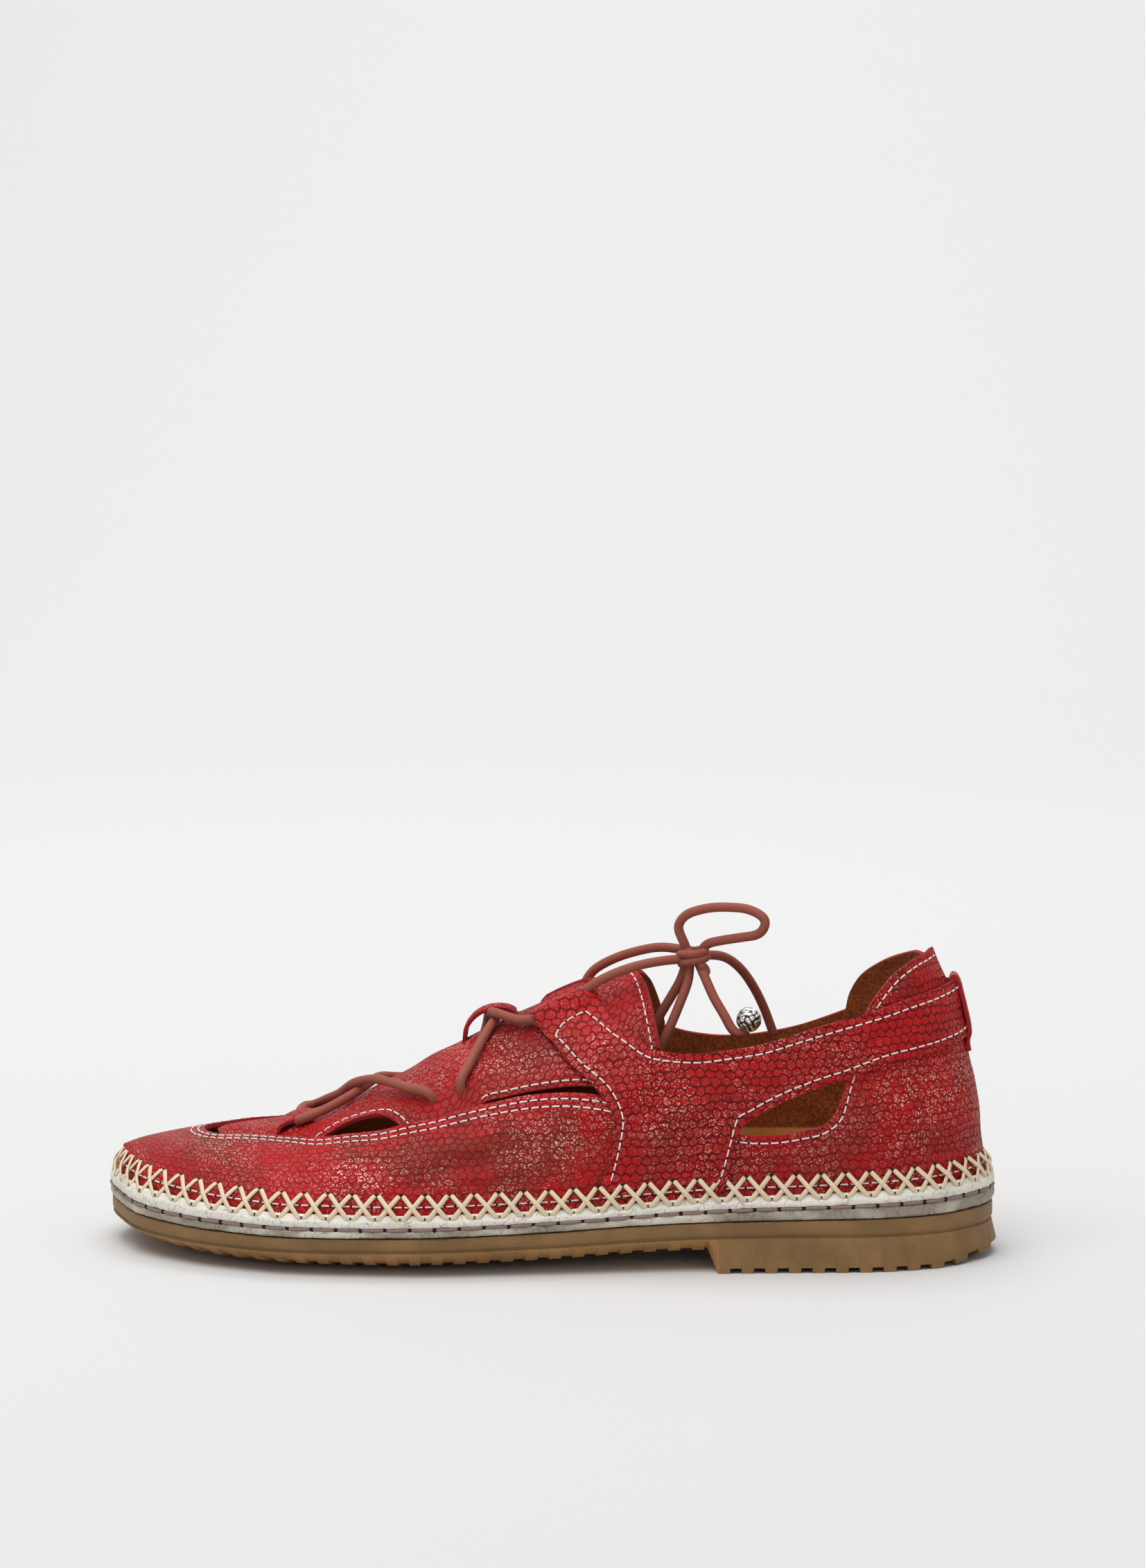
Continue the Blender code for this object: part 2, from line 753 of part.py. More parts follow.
# Lace: joined crossings, then the free lengths as cords
def smooth_route(points, spacing):
    """Evenly spaced points on a smooth curve through the route's own points."""
    knots = [np.array(point, dtype=float) for point in points]
    knots = [2 * knots[0] - knots[1]] + knots + [2 * knots[-1] - knots[-2]]
    dense = []
    for a, b, c, d in zip(knots, knots[1:], knots[2:], knots[3:]):
        for s in np.linspace(0.0, 1.0, 24, endpoint=False):
            bow = (2 * a - 5 * b + 4 * c - d) * s**2 + (3 * b - a - 3 * c + d) * s**3
            dense.append((2 * b + (c - a) * s + bow) / 2.0)
    dense.append(knots[-2])
    lengths = np.concatenate([[0.0], np.cumsum([np.linalg.norm(q - p) for p, q in zip(dense, dense[1:])])])
    count = max(3, int(round(lengths[-1] / spacing)) + 1)
    places = np.linspace(0.0, lengths[-1], count)
    track = np.array(dense)
    return [np.array([np.interp(place, lengths, track[:, i]) for i in range(3)]) for place in places]


def lace_tube(route):
    """Round tube of the lace along a route, as a mesh to be joined."""
    sections = []
    up = np.array([0.0, 0.0, 1.0])
    for i, point in enumerate(route):
        run = route[min(i + 1, len(route) - 1)] - route[max(i - 1, 0)]
        run = run / np.linalg.norm(run)
        across = np.cross(up, run)
        across = across / np.linalg.norm(across)
        over = np.cross(run, across)
        turns = [2 * math.pi * k / 8 for k in range(8)]
        sections.append([point + LACE_RADIUS * (math.cos(t) * across + math.sin(t) * over) for t in turns])
    return loft(sections)


def over_apron(along, across, lift):
    """Place at a clear distance over the apron, measured square to the leather."""
    height = apron_height(along, across)
    rise_back = (apron_height(along + 1.0, across) - apron_height(along - 1.0, across)) / 2.0
    rise_side = (apron_height(along, across + 1.0) - apron_height(along, across - 1.0)) / 2.0
    return (along, across, height + lift * math.sqrt(1.0 + rise_back**2 + rise_side**2))


def on_apron(rows):
    return smooth_route([over_apron(*row) for row in rows], 4.0)


def crossing(name, low, high):
    item = add_mesh(name, lace_tube(on_apron(low)), CORD)
    other = add_mesh(name + "_over", lace_tube(on_apron(high)), CORD)
    combine(item, other, "UNION")
    return item


def outside_knot(route):
    """Keeps the points of a route that lie clear of the knot."""
    reach = np.array(KNOT_HALF) + 0.45
    middle = np.array(KNOT_MIDDLE)
    return [point for point in route if np.linalg.norm((point - middle) / reach) >= 1.0]


def cord(name, points):
    kept = outside_knot(smooth_route(points, 0.5))
    route = smooth_route(kept[::3] + [kept[-1]], 2.2 * 2.0 * LACE_RADIUS)
    curve = bpy.data.curves.new(name, "CURVE")
    curve.dimensions = "3D"
    curve.bevel_depth = LACE_RADIUS * MM
    curve.bevel_resolution = 2
    curve.use_fill_caps = True
    spline = curve.splines.new("POLY")
    spline.points.add(len(route) - 1)
    for target, point in zip(spline.points, route):
        target.co = (*to_world(point), 1.0)
    curve.materials.append(CORD)
    item = bpy.data.objects.new(name, curve)
    bpy.context.scene.collection.objects.link(item)
    return item


def ball(name, middle, half, colour):
    form = bmesh.new()
    bmesh.ops.create_uvsphere(form, u_segments=14, v_segments=9, radius=1.0)
    bmesh.ops.scale(form, verts=form.verts, vec=Vector(half) * MM)
    bmesh.ops.translate(form, verts=form.verts, vec=to_world(middle))
    return add_mesh(name, form, colour)


keeper("keeper_front", 50.0, 62.5, 5.5, 3.6)
keeper("keeper_mid", 105.2, 121.4, 2.5, 7.6)
crossing("lace_cross_front", CROSS_FRONT_LOW, CROSS_FRONT_HIGH)
crossing("lace_cross_rear", CROSS_REAR_LOW, CROSS_REAR_HIGH)
cord("lace_run_lateral", (over_apron(*TUNNEL_LATERAL, RUN_START), *RUN_LATERAL))
cord("lace_run_medial", (over_apron(*TUNNEL_MEDIAL, RUN_START), *RUN_MEDIAL))
cord("lace_loop_top", LOOP_TOP)
cord("lace_loop_hanging", LOOP_HANGING)
cord("lace_end_far", END_FAR)
cord("lace_end_bead", END_BEAD)
ball("lace_knot", KNOT_MIDDLE, KNOT_HALF, CORD)
ball("bead", BEAD_MIDDLE, (BEAD_RADIUS, BEAD_RADIUS, BEAD_RADIUS), METAL)
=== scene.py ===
# %% [markdown]
# # A soft leather lace-up shoe
# This lesson dresses a packed shoe: a gum rubber sole, a wrapped band of silver foil leather, a red
# snake-embossed upper sewn on with a cross stitch, and an elastic lace with a bead.
# The solids come from the frame. Everything that is seen is modelled here around them, in the same
# place and at the same size.

# %% Load the frame
import math
from collections import namedtuple

import bmesh
import bpy
import numpy as np
from mathutils import Matrix, Vector, noise


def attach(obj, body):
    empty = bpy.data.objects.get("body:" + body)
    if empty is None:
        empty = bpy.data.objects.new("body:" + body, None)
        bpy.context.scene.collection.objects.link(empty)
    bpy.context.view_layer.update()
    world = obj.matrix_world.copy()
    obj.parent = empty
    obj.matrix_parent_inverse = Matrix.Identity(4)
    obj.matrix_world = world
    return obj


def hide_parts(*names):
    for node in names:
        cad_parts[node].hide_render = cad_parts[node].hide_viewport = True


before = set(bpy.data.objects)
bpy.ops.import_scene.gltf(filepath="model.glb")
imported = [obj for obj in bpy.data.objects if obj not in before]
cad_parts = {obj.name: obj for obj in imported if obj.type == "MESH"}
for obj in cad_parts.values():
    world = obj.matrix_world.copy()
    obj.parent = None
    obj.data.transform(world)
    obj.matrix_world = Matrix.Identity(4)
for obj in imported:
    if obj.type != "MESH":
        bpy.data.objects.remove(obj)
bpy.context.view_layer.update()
MM = 0.001
print("solids in the frame:", len(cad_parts))

# %% [markdown]
# ## Camera
# The shoe was photographed from its outer side with a long lens, a little above the floor.
# A long lens flattens the view, so the distance matters as much as the angle. The lens is given by
# its length in pixels of the photograph, and turned into millimetres for a 36 mm sensor.

# %% Camera
FRAME_PIXELS_HIGH = 2263
LENS_PIXELS = 6876
SENSOR_MM = 36.0
CAMERA_PLACE = (0.0793, -1.3777, 0.308)
CAMERA_DOWN_DEGREES = 7.047
CAMERA_TURN_DEGREES = 3.0

scene = bpy.context.scene
camera_data = bpy.data.cameras.new("camera")
camera_data.sensor_width = SENSOR_MM
camera_data.lens = LENS_PIXELS / FRAME_PIXELS_HIGH * SENSOR_MM
camera = bpy.data.objects.new("camera", camera_data)
camera.location = CAMERA_PLACE
camera.rotation_euler = (math.radians(90.0 - CAMERA_DOWN_DEGREES), 0.0, math.radians(CAMERA_TURN_DEGREES))
scene.collection.objects.link(camera)
scene.camera = camera
print("lens", round(camera_data.lens, 1), "mm")

# %% [markdown]
# ## The last
# A shoe is built over a last, a foot-shaped block. Its outline, the heights of the sole and the line
# where each section closes are short tables. They are the ones that shaped the solids, apart from the
# band's seam, which stands up to a millimetre higher at the heel. A section is named by an angle that
# runs from 0 at the toe to pi at the heel, so sections crowd together at both round ends. Working on
# whole arrays keeps the many points of the leather quick to place.

# %% Tables of the last
BAND_LENGTH = 261.4
TOE_X = -BAND_LENGTH / 2.0
SIDE_SHIFT = 1.75
FEATHER_INSET = 3.2
FLARE = 1.2
FLARE_HEIGHT = 3.5
UPPER_LIFT = 0.95
LATERAL, MEDIAL = -1.0, 1.0

OUTLINE_COLUMNS = ("along", "lateral", "medial")
OUTLINE_ROWS = (
    (0.0, 8.0, 8.0),
    (4.0, -7.0, 21.5),
    (11.0, -20.0, 29.5),
    (22.0, -29.5, 36.0),
    (35.0, -37.4, 40.5),
    (62.0, -46.4, 44.5),
    (91.0, -48.0, 43.0),
    (131.0, -43.0, 34.0),
    (171.0, -36.6, 28.5),
    (201.0, -33.6, 28.8),
    (224.0, -31.6, 29.0),
    (243.0, -25.8, 25.0),
    (255.0, -15.6, 15.4),
    (261.4, 0.0, 0.0),
)
SOLE_COLUMNS = ("along", "tread", "edge", "groove", "silver", "seam", "top")
SOLE_ROWS = (
    (0.0, 3.6, 5.0, 9.2, 13.2, 16.6, 20.2),
    (18.0, 1.7, 3.4, 7.6, 11.6, 14.6, 18.8),
    (36.0, 0.5, 2.6, 7.2, 11.1, 14.0, 17.7),
    (58.0, 0.0, 2.5, 7.2, 11.0, 13.8, 17.0),
    (88.0, 0.0, 2.5, 7.6, 11.4, 14.0, 17.0),
    (110.0, 0.6, 2.8, 8.0, 11.8, 14.5, 17.4),
    (134.0, 1.9, 3.6, 8.6, 12.6, 15.4, 18.0),
    (157.0, 3.4, 4.8, 9.6, 13.8, 16.6, 19.4),
    (178.0, 4.6, 5.4, 10.2, 14.5, 17.8, 20.7),
    (210.0, 4.6, 5.4, 10.4, 15.0, 18.8, 21.6),
    (240.0, 4.6, 5.4, 10.4, 15.3, 19.6, 22.9),
    (261.4, 4.6, 5.4, 10.4, 15.5, 20.1, 23.9),
)
CROWN_COLUMNS = ("along", "crown_along", "lateral", "medial", "height", "lean")
CROWN_ROWS = (
    (0.0, 3.5, 8.0, 8.0, 27.4, 1.0),
    (7.0, 9.5, 8.4, 8.4, 29.2, 1.0),
    (20.0, 21.0, 8.6, 8.6, 31.6, 1.0),
    (36.0, 36.5, 8.0, 8.0, 34.0, 1.0),
    (52.0, 52.0, 6.8, 6.8, 36.2, 1.05),
    (66.0, 66.0, 5.4, 5.4, 40.4, 1.1),
    (85.0, 85.0, 4.0, 4.0, 49.4, 1.15),
    (100.0, 100.0, 3.0, 3.0, 58.2, 1.2),
    (126.0, 126.0, 2.0, 2.0, 71.4, 1.3),
    (141.0, 141.0, 2.0, 2.0, 78.6, 1.3),
    (157.0, 156.0, 2.0, 2.0, 84.0, 1.3),
    (170.0, 164.0, -15.0, 15.0, 86.0, 1.3),
    (190.0, 182.0, -23.5, 21.5, 88.0, 1.3),
    (215.0, 204.0, -24.0, 22.5, 90.0, 1.45),
    (236.0, 222.0, -19.0, 18.5, 90.5, 1.7),
    (252.0, 236.0, -10.0, 10.0, 90.5, 1.9),
    (261.4, 242.8, 0.0, 0.0, 90.5, 2.0),
)
COLLAR_COLUMNS = ("along", "lateral", "medial")
COLLAR_ROWS = (
    (141.0, 79.2, 79.2),
    (145.0, 77.0, 77.4),
    (150.0, 70.2, 71.2),
    (156.0, 66.0, 67.0),
    (161.0, 63.8, 64.0),
    (168.0, 62.9, 60.9),
    (176.0, 62.9, 59.3),
    (183.0, 64.0, 58.8),
    (194.0, 65.8, 59.8),
    (204.0, 68.9, 62.0),
    (218.0, 72.9, 67.0),
    (226.0, 74.8, 70.6),
    (240.0, 78.2, 76.6),
    (250.0, 80.6, 79.9),
)


class Table:
    """Rows of named columns, read between rows by a smooth curve; takes whole arrays."""

    def __init__(self, columns, rows, wrap=True):
        self.columns = columns
        self.values = np.array(rows, dtype=float)
        self.wrap = wrap
        self.keys = self.key(self.values[:, 0])
        self.slopes = np.array([self.soft_slope(track) for track in self.values.T]).T

    def soft_slope(self, track):
        """Slope at each row that never swings past the rows on either side."""
        steps = np.diff(track) / np.diff(self.keys)
        slope = np.zeros(len(track))
        for i in range(1, len(track) - 1):
            if steps[i - 1] * steps[i] > 0.0:
                slope[i] = 2.0 * steps[i - 1] * steps[i] / (steps[i - 1] + steps[i])
        slope[0] = 1.5 * steps[0] - 0.5 * slope[1]
        slope[-1] = 1.5 * steps[-1] - 0.5 * slope[-2]
        return slope

    def key(self, along):
        along = np.asarray(along, dtype=float)
        if not self.wrap:
            return along
        return np.arccos(np.clip(1.0 - 2.0 * along / BAND_LENGTH, -1.0, 1.0))

    def at_key(self, column, key):
        place = self.columns.index(column)
        key = np.clip(key, self.keys[0], self.keys[-1])
        row = np.clip(np.searchsorted(self.keys, key) - 1, 0, len(self.keys) - 2)
        span = self.keys[row + 1] - self.keys[row]
        s = (key - self.keys[row]) / span
        low, high = self.values[row, place], self.values[row + 1, place]
        low_slope, high_slope = self.slopes[row, place] * span, self.slopes[row + 1, place] * span
        start = (2 * s**3 - 3 * s**2 + 1) * low + (s**3 - 2 * s**2 + s) * low_slope
        return start + (-2 * s**3 + 3 * s**2) * high + (s**3 - s**2) * high_slope

    def at(self, column, along):
        return self.at_key(column, self.key(along))


outline_table = Table(OUTLINE_COLUMNS, OUTLINE_ROWS)
sole_table = Table(SOLE_COLUMNS, SOLE_ROWS, wrap=False)
crown_table = Table(CROWN_COLUMNS, CROWN_ROWS)
collar_table = Table(COLLAR_COLUMNS, COLLAR_ROWS, wrap=False)
print("tables for", len(OUTLINE_ROWS), "outline rows and", len(CROWN_ROWS), "sections")


# %% Points on the last
def angle_of(along):
    return outline_table.key(along)


def along_of(angle):
    return BAND_LENGTH * (1.0 - np.cos(angle)) / 2.0


def by_side(table, angle, side):
    return np.where(side < 0.0, table.at_key("lateral", angle), table.at_key("medial", angle))


def outline(angle, side):
    return np.stack([along_of(angle), by_side(outline_table, angle, side)], -1)


def outward(angle, side):
    """Unit plan normal of the outline, pointing out of the shoe."""
    run = outline(np.minimum(angle + 0.01, math.pi), side) - outline(np.maximum(angle - 0.01, 0.0), side)
    normal = np.stack([run[..., 1], -run[..., 0]], -1) * -np.sign(side)[..., None]
    return normal / np.linalg.norm(normal, axis=-1, keepdims=True)


def wall(angle, side, rise):
    """Points of the upper's outer face: rise 0 at the feather line, 1 where the section closes."""
    angle, side, rise = np.broadcast_arrays(*[np.asarray(a, dtype=float) for a in (angle, side, rise)])
    out = outward(angle, side)
    foot = outline(angle, side) - FEATHER_INSET * out
    base = sole_table.at("top", along_of(angle)) + UPPER_LIFT
    turn = np.clip(rise, 0.0, 1.0) * math.pi / 2.0
    upright = np.maximum(np.cos(turn), 0.0)
    inward = 1.0 - upright ** crown_table.at_key("lean", angle)
    crown = np.stack([crown_table.at_key("crown_along", angle), by_side(crown_table, angle, side)], -1)
    climb = (crown_table.at_key("height", angle) - base) * np.sin(turn)
    flare = FLARE * upright * np.exp(-climb / FLARE_HEIGHT)
    plan = foot + (crown - foot) * inward[..., None] + out * flare[..., None]
    return np.concatenate([plan, (base + climb)[..., None]], -1)


def from_side(along, height, side):
    """Section angle and rise of the wall's point at a place in the side view."""
    along, height, side = np.broadcast_arrays(*[np.asarray(a, dtype=float) for a in (along, height, side)])
    angle = angle_of(along)
    for _ in range(25):
        base = sole_table.at("top", along_of(angle)) + UPPER_LIFT
        climb = np.clip((height - base) / (crown_table.at_key("height", angle) - base), 0.0, 1.0)
        rise = np.arcsin(climb) * 2.0 / math.pi
        miss = along - wall(angle, side, rise)[..., 0]
        angle = angle_of(np.clip(along_of(angle) + 0.8 * miss, 0.0, BAND_LENGTH))
    return angle, rise


def from_top(along, across):
    """Section angle, side and rise of the wall's point at a place in plan."""
    along, across = np.broadcast_arrays(*[np.asarray(a, dtype=float) for a in (along, across)])
    angle = angle_of(along)
    for _ in range(8):
        side = np.where(across < crown_table.at_key("lateral", angle), LATERAL, MEDIAL)
        low, high = np.zeros(along.shape), np.ones(along.shape)
        for _ in range(24):
            rise = (low + high) / 2.0
            beyond = side * wall(angle, side, rise)[..., 1] > side * across
            low, high = np.where(beyond, rise, low), np.where(beyond, high, rise)
        miss = along - wall(angle, side, rise)[..., 0]
        angle = angle_of(np.clip(along_of(angle) + miss, 0.0, BAND_LENGTH))
    return angle, side, rise


def to_world(points):
    return (np.asarray(points, dtype=float) + np.array([TOE_X, SIDE_SHIFT, 0.0])) * MM


test_angle, test_rise = from_side(175.0, 45.0, LATERAL)
print("a point of the quarter", np.round(wall(test_angle, LATERAL, test_rise), 1))


# %% [markdown]
# ## Curves and sheets
# Each edge of a leather panel is a short list of places that a pattern cutter would mark. A smooth
# curve runs through them. A panel is then a flat grid of faces whose points are moved onto the last
# by a function of the two grid directions, so its edges are exactly the marked curves. A Solidify
# modifier gives it the thickness of the hide, with the flesh side and the cut edge as materials of
# their own, and a small bevel rounds the cut.

# %% Smooth curves
def flow(points, places, keys=None):
    """Points on a smooth curve through the given ones; places run from 0 to 1."""
    points = np.asarray(points, dtype=float)
    if keys is None:
        steps = np.linalg.norm(np.diff(points, axis=0), axis=1)
        keys = np.concatenate([[0.0], np.cumsum(np.maximum(steps, 1e-9))])
    keys = np.asarray(keys, dtype=float)
    keys = (keys - keys[0]) / (keys[-1] - keys[0])
    slopes = np.gradient(points, keys, axis=0)
    places = np.clip(np.asarray(places, dtype=float), 0.0, 1.0)
    row = np.clip(np.searchsorted(keys, places) - 1, 0, len(keys) - 2)
    span = (keys[row + 1] - keys[row])[..., None]
    s = (places - keys[row])[..., None] / span
    start = (2 * s**3 - 3 * s**2 + 1) * points[row] + (s**3 - 2 * s**2 + s) * span * slopes[row]
    return start + (-2 * s**3 + 3 * s**2) * points[row + 1] + (s**3 - s**2) * span * slopes[row + 1]


def lengths_along(points):
    steps = np.linalg.norm(np.diff(points, axis=0), axis=1)
    return np.concatenate([[0.0], np.cumsum(steps)])


def read_along(points, lengths, places):
    """Points of a line at the given lengths from its start."""
    return np.stack([np.interp(places, lengths, track) for track in points.T], -1)


def evenly(points, count):
    """The same line as count evenly spaced points."""
    lengths = lengths_along(points)
    return read_along(points, lengths, np.linspace(0.0, lengths[-1], count))


def smooth_route(points, spacing):
    """Evenly spaced points on a smooth curve through a route's own points."""
    dense = flow(points, np.linspace(0.0, 1.0, 40 * len(points)))
    return evenly(dense, max(4, int(round(lengths_along(dense)[-1] / spacing)) + 1))


def soft_step(low, high, value):
    s = np.clip((value - low) / (high - low), 0.0, 1.0)
    return s * s * (3.0 - 2.0 * s)


def bump_at(value, middle, half_width):
    return np.exp(-(((value - middle) / half_width) ** 2))


# %% Pieces from grids
CUT_ROUNDING = 0.28
CUT_ANGLE_DEGREES = 50.0


def unit(vectors):
    return vectors / np.maximum(np.linalg.norm(vectors, axis=-1, keepdims=True), 1e-12)


def hide_map(points):
    """Two lengths in millimetres over a sheet, so that a grain keeps its size."""
    run = np.linalg.norm(np.diff(points, axis=0), axis=-1).mean(axis=1)
    over = np.linalg.norm(np.diff(points, axis=1), axis=-1)
    u = np.concatenate([[0.0], np.cumsum(run)])
    v = np.concatenate([np.zeros((len(points), 1)), np.cumsum(over, axis=1)], axis=1)
    return np.stack([np.broadcast_to(u[:, None], v.shape), v], -1)


def grid_form(points, uv=None, wrap=False):
    """A bmesh grid moved onto a sheet of points in millimetres, with its map; wrap closes the rows."""
    columns, rows = points.shape[0] - 1, points.shape[1] - 1
    form = bmesh.new()
    bmesh.ops.create_grid(form, x_segments=columns, y_segments=rows, size=0.5)
    world = to_world(points)
    uv = hide_map(points) if uv is None else uv
    place = {}
    for vert in form.verts:
        i = int(round((vert.co.x + 0.5) * columns))
        j = int(round((vert.co.y + 0.5) * rows))
        place[vert] = (i, j)
        vert.co = world[i, j]
    layer = form.loops.layers.uv.new("hide")
    for face in form.faces:
        for loop in face.loops:
            loop[layer].uv = uv[place[loop.vert]]
    if wrap:
        bmesh.ops.remove_doubles(form, verts=form.verts, dist=2e-6)
    return form, place


def add_piece(name, form, finishes):
    """Makes a bmesh a finished piece that rides on the shoe."""
    mesh = bpy.data.meshes.new(name)
    form.to_mesh(mesh)
    form.free()
    for finish in finishes:
        mesh.materials.append(finish)
    mesh.polygons.foreach_set("use_smooth", [True] * len(mesh.polygons))
    piece = bpy.data.objects.new(name, mesh)
    scene.collection.objects.link(piece)
    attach(piece, "root")
    return piece


def face_outwards(form, normals, place):
    """Turns the grid's faces to look the way of the sheet's normals."""
    form.normal_update()
    total = 0.0
    for face in form.faces:
        corner = face.verts[0]
        if corner in place:
            total += face.normal.dot(Vector(normals[place[corner]]))
    if total < 0.0:
        bmesh.ops.reverse_faces(form, faces=form.faces)


def hide_thickness(piece, thickness):
    """Thickness of the hide inwards, with the flesh side and the cut edge as finishes of their own."""
    wall_modifier = piece.modifiers.new("hide", "SOLIDIFY")
    wall_modifier.thickness = thickness * MM
    wall_modifier.offset = -1.0
    wall_modifier.material_offset = 1
    wall_modifier.material_offset_rim = 2
    edge_modifier = piece.modifiers.new("cut_edge", "BEVEL")
    edge_modifier.width = CUT_ROUNDING * MM
    edge_modifier.segments = 2
    edge_modifier.limit_method = "ANGLE"
    edge_modifier.angle_limit = math.radians(CUT_ANGLE_DEGREES)
    return piece


print("grid helpers ready")

# %% [markdown]
# ## Writing finishes as sums
# A procedural finish is arithmetic on patterns. Wiring every Math node by hand hides the idea, so one
# small class wraps an output and lets Python's own signs add the nodes. Any other node comes from one
# method, which takes its type, its settings and the values or links of its sockets.

# %% Shader arithmetic
class Wire:
    """One output of a material's nodes; arithmetic on it adds Math nodes."""

    def __init__(self, tree, socket=None):
        self.tree = tree
        self.socket = socket

    def node(self, kind, settings=None, values=None, output=0):
        made = self.tree.nodes.new(kind)
        for name, value in (settings or {}).items():
            setattr(made, name, value)
        for name, value in (values or {}).items():
            if isinstance(value, Wire):
                self.tree.links.new(value.socket, made.inputs[name])
            else:
                made.inputs[name].default_value = value
        return Wire(self.tree, made.outputs[output])

    def math(self, operation, *values):
        return self.node("ShaderNodeMath", {"operation": operation}, dict(enumerate(values)))

    def __add__(self, other):
        return self.math("ADD", self, other)

    def __sub__(self, other):
        return self.math("SUBTRACT", self, other)

    def __rsub__(self, other):
        return self.math("SUBTRACT", other, self)

    def __mul__(self, other):
        return self.math("MULTIPLY", self, other)

    __radd__ = __add__
    __rmul__ = __mul__

    def between(self, low, high):
        """0 below low, 1 above high, and a soft step in between."""
        settings = {"interpolation_type": "SMOOTHSTEP"}
        return self.node("ShaderNodeMapRange", settings, {"Value": self, "From Min": low, "From Max": high})

    def moved(self, offset=(0.0, 0.0, 0.0), scale=(1.0, 1.0, 1.0)):
        values = {"Vector": self, "Location": offset, "Scale": scale}
        return self.node("ShaderNodeMapping", None, values)

    def noise(self, scale, detail=2.0, roughness=0.5, output=0):
        values = {"Vector": self, "Scale": scale, "Detail": detail, "Roughness": roughness}
        return self.node("ShaderNodeTexNoise", {"noise_dimensions": "3D"}, values, output)

    def cells(self, feature, scale, output="Distance"):
        settings = {"feature": feature, "voronoi_dimensions": "2D"}
        return self.node("ShaderNodeTexVoronoi", settings, {"Vector": self, "Scale": scale}, output)

    def part(self, name):
        return self.node("ShaderNodeSeparateXYZ", None, {0: self}, name)

    def vector(self, operation, *values, output=0):
        return self.node("ShaderNodeVectorMath", {"operation": operation}, dict(enumerate(values)), output)

    def shaken(self, scale, amount):
        """A vector shifted about by a soft noise, so that rows don't run ruler straight."""
        drift = self.vector("SUBTRACT", self.noise(scale, output="Color"), (0.5, 0.5, 0.5))
        drift = self.vector("MULTIPLY", drift, (amount, amount, 0.0))
        return self.vector("ADD", self, drift)

    def honeycomb(self):
        """Six-sided cells one unit wide: the distance to a cell's edge, and its middle."""
        half = (0.5, math.sqrt(0.75), 0.5)
        low = tuple(-side for side in half)
        near = self.vector("WRAP", self, half, low)
        other = self.vector("WRAP", self.vector("SUBTRACT", self, half), half, low)
        sizes = [way.vector("DOT_PRODUCT", way, way, output=1) for way in (near, other)]
        nearer = sizes[0].math("GREATER_THAN", *sizes)
        inside = self.node("ShaderNodeMix", {"data_type": "VECTOR"}, {0: nearer, 4: near, 5: other}, 1)
        size = inside.vector("ABSOLUTE", inside)
        slanted = size.vector("DOT_PRODUCT", size, (0.5, math.sqrt(0.75), 0.0), output=1)
        return 0.5 - slanted.math("MAXIMUM", slanted, size.part("X")), self.vector("SUBTRACT", self, inside)

    def mix(self, first, second):
        """Colour between two others, by this value."""
        values = {0: self, 6: first, 7: second}
        return self.node("ShaderNodeMix", {"data_type": "RGBA"}, values, 2)


class Finish:
    """A material with its Principled shader at hand."""

    def __init__(self, name):
        self.material = bpy.data.materials.new(name)
        self.material.use_nodes = True
        self.tree = self.material.node_tree
        self.shader = self.tree.nodes["Principled BSDF"]
        self.start = Wire(self.tree)
        self.hide = self.start.node("ShaderNodeUVMap", {"uv_map": "hide"})
        self.solid = self.start.node("ShaderNodeTexCoord", output="Object")

    def solid_in_mm(self):
        """The piece's own place, in millimetres."""
        return self.solid.moved(scale=(1.0 / MM, 1.0 / MM, 1.0 / MM))

    def put(self, **sockets):
        for name, value in sockets.items():
            socket = self.shader.inputs[name.replace("_", " ")]
            if isinstance(value, Wire):
                self.tree.links.new(value.socket, socket)
            else:
                socket.default_value = value

    def relief(self, height, depth, strength=1.0):
        """Bump of a height pattern, depth in millimetres."""
        values = {"Height": height, "Distance": depth * MM, "Strength": strength}
        self.put(Normal=self.start.node("ShaderNodeBump", None, values))


def paint(red, green, blue):
    """Display colour from 0 to 255 as the linear colour that shaders take."""
    shares = [channel / 255.0 for channel in (red, green, blue)]
    linear = [s / 12.92 if s <= 0.04045 else ((s + 0.055) / 1.055) ** 2.4 for s in shares]
    return (*linear, 1.0)


print("shader arithmetic ready")

# %% [markdown]
# ## Red snake-embossed leather
# A hot plate presses scales into the hide: plump six-sided cells with dark, narrow furrows. A foil was
# rubbed on afterwards. It is worn to a brownish haze on the scales and to bright flecks in patches; the
# flecks are foil, painted near white as painted glints.
# A Voronoi texture gives cells of every shape, so the scales are a honeycomb worked out on the hide's
# own map in millimetres, shaken a little. Its distance to the edge gives furrow and plumpness. Where
# most of the foil and its painted glints are left, and where the red is darkened as painted shade, is
# marked with soft ovals.

# %% Red leather
RED_PLAIN = paint(163, 17, 20)
RED_LIGHT = paint(184, 25, 27)
RED_DEEP = paint(122, 12, 15)
FURROW_RED = paint(62, 6, 8)
RUBBED_BROWN = paint(112, 46, 34)
HAZE_BROWN = paint(174, 104, 86)
# Colours of the flecks: foil, painted near white as painted glints.
FOIL_GLINT_PINK = paint(238, 184, 162)
FOIL_GLINT_WHITE = paint(254, 234, 220)
FLECK_SIZE = 0.3


def spot_on(finish, along, height, long, high):
    """1 in the middle of an oval, given in mm as it is seen from the side, and 0 outside it."""
    offset = (-(along + TOE_X) / long, 0.0, -height / high)
    oval = finish.solid.moved(offset=offset, scale=(1.0 / (long * MM), 0.0, 1.0 / (high * MM)))
    return 1.0 - oval.vector("LENGTH", oval, output=1).between(0.4, 1.2)


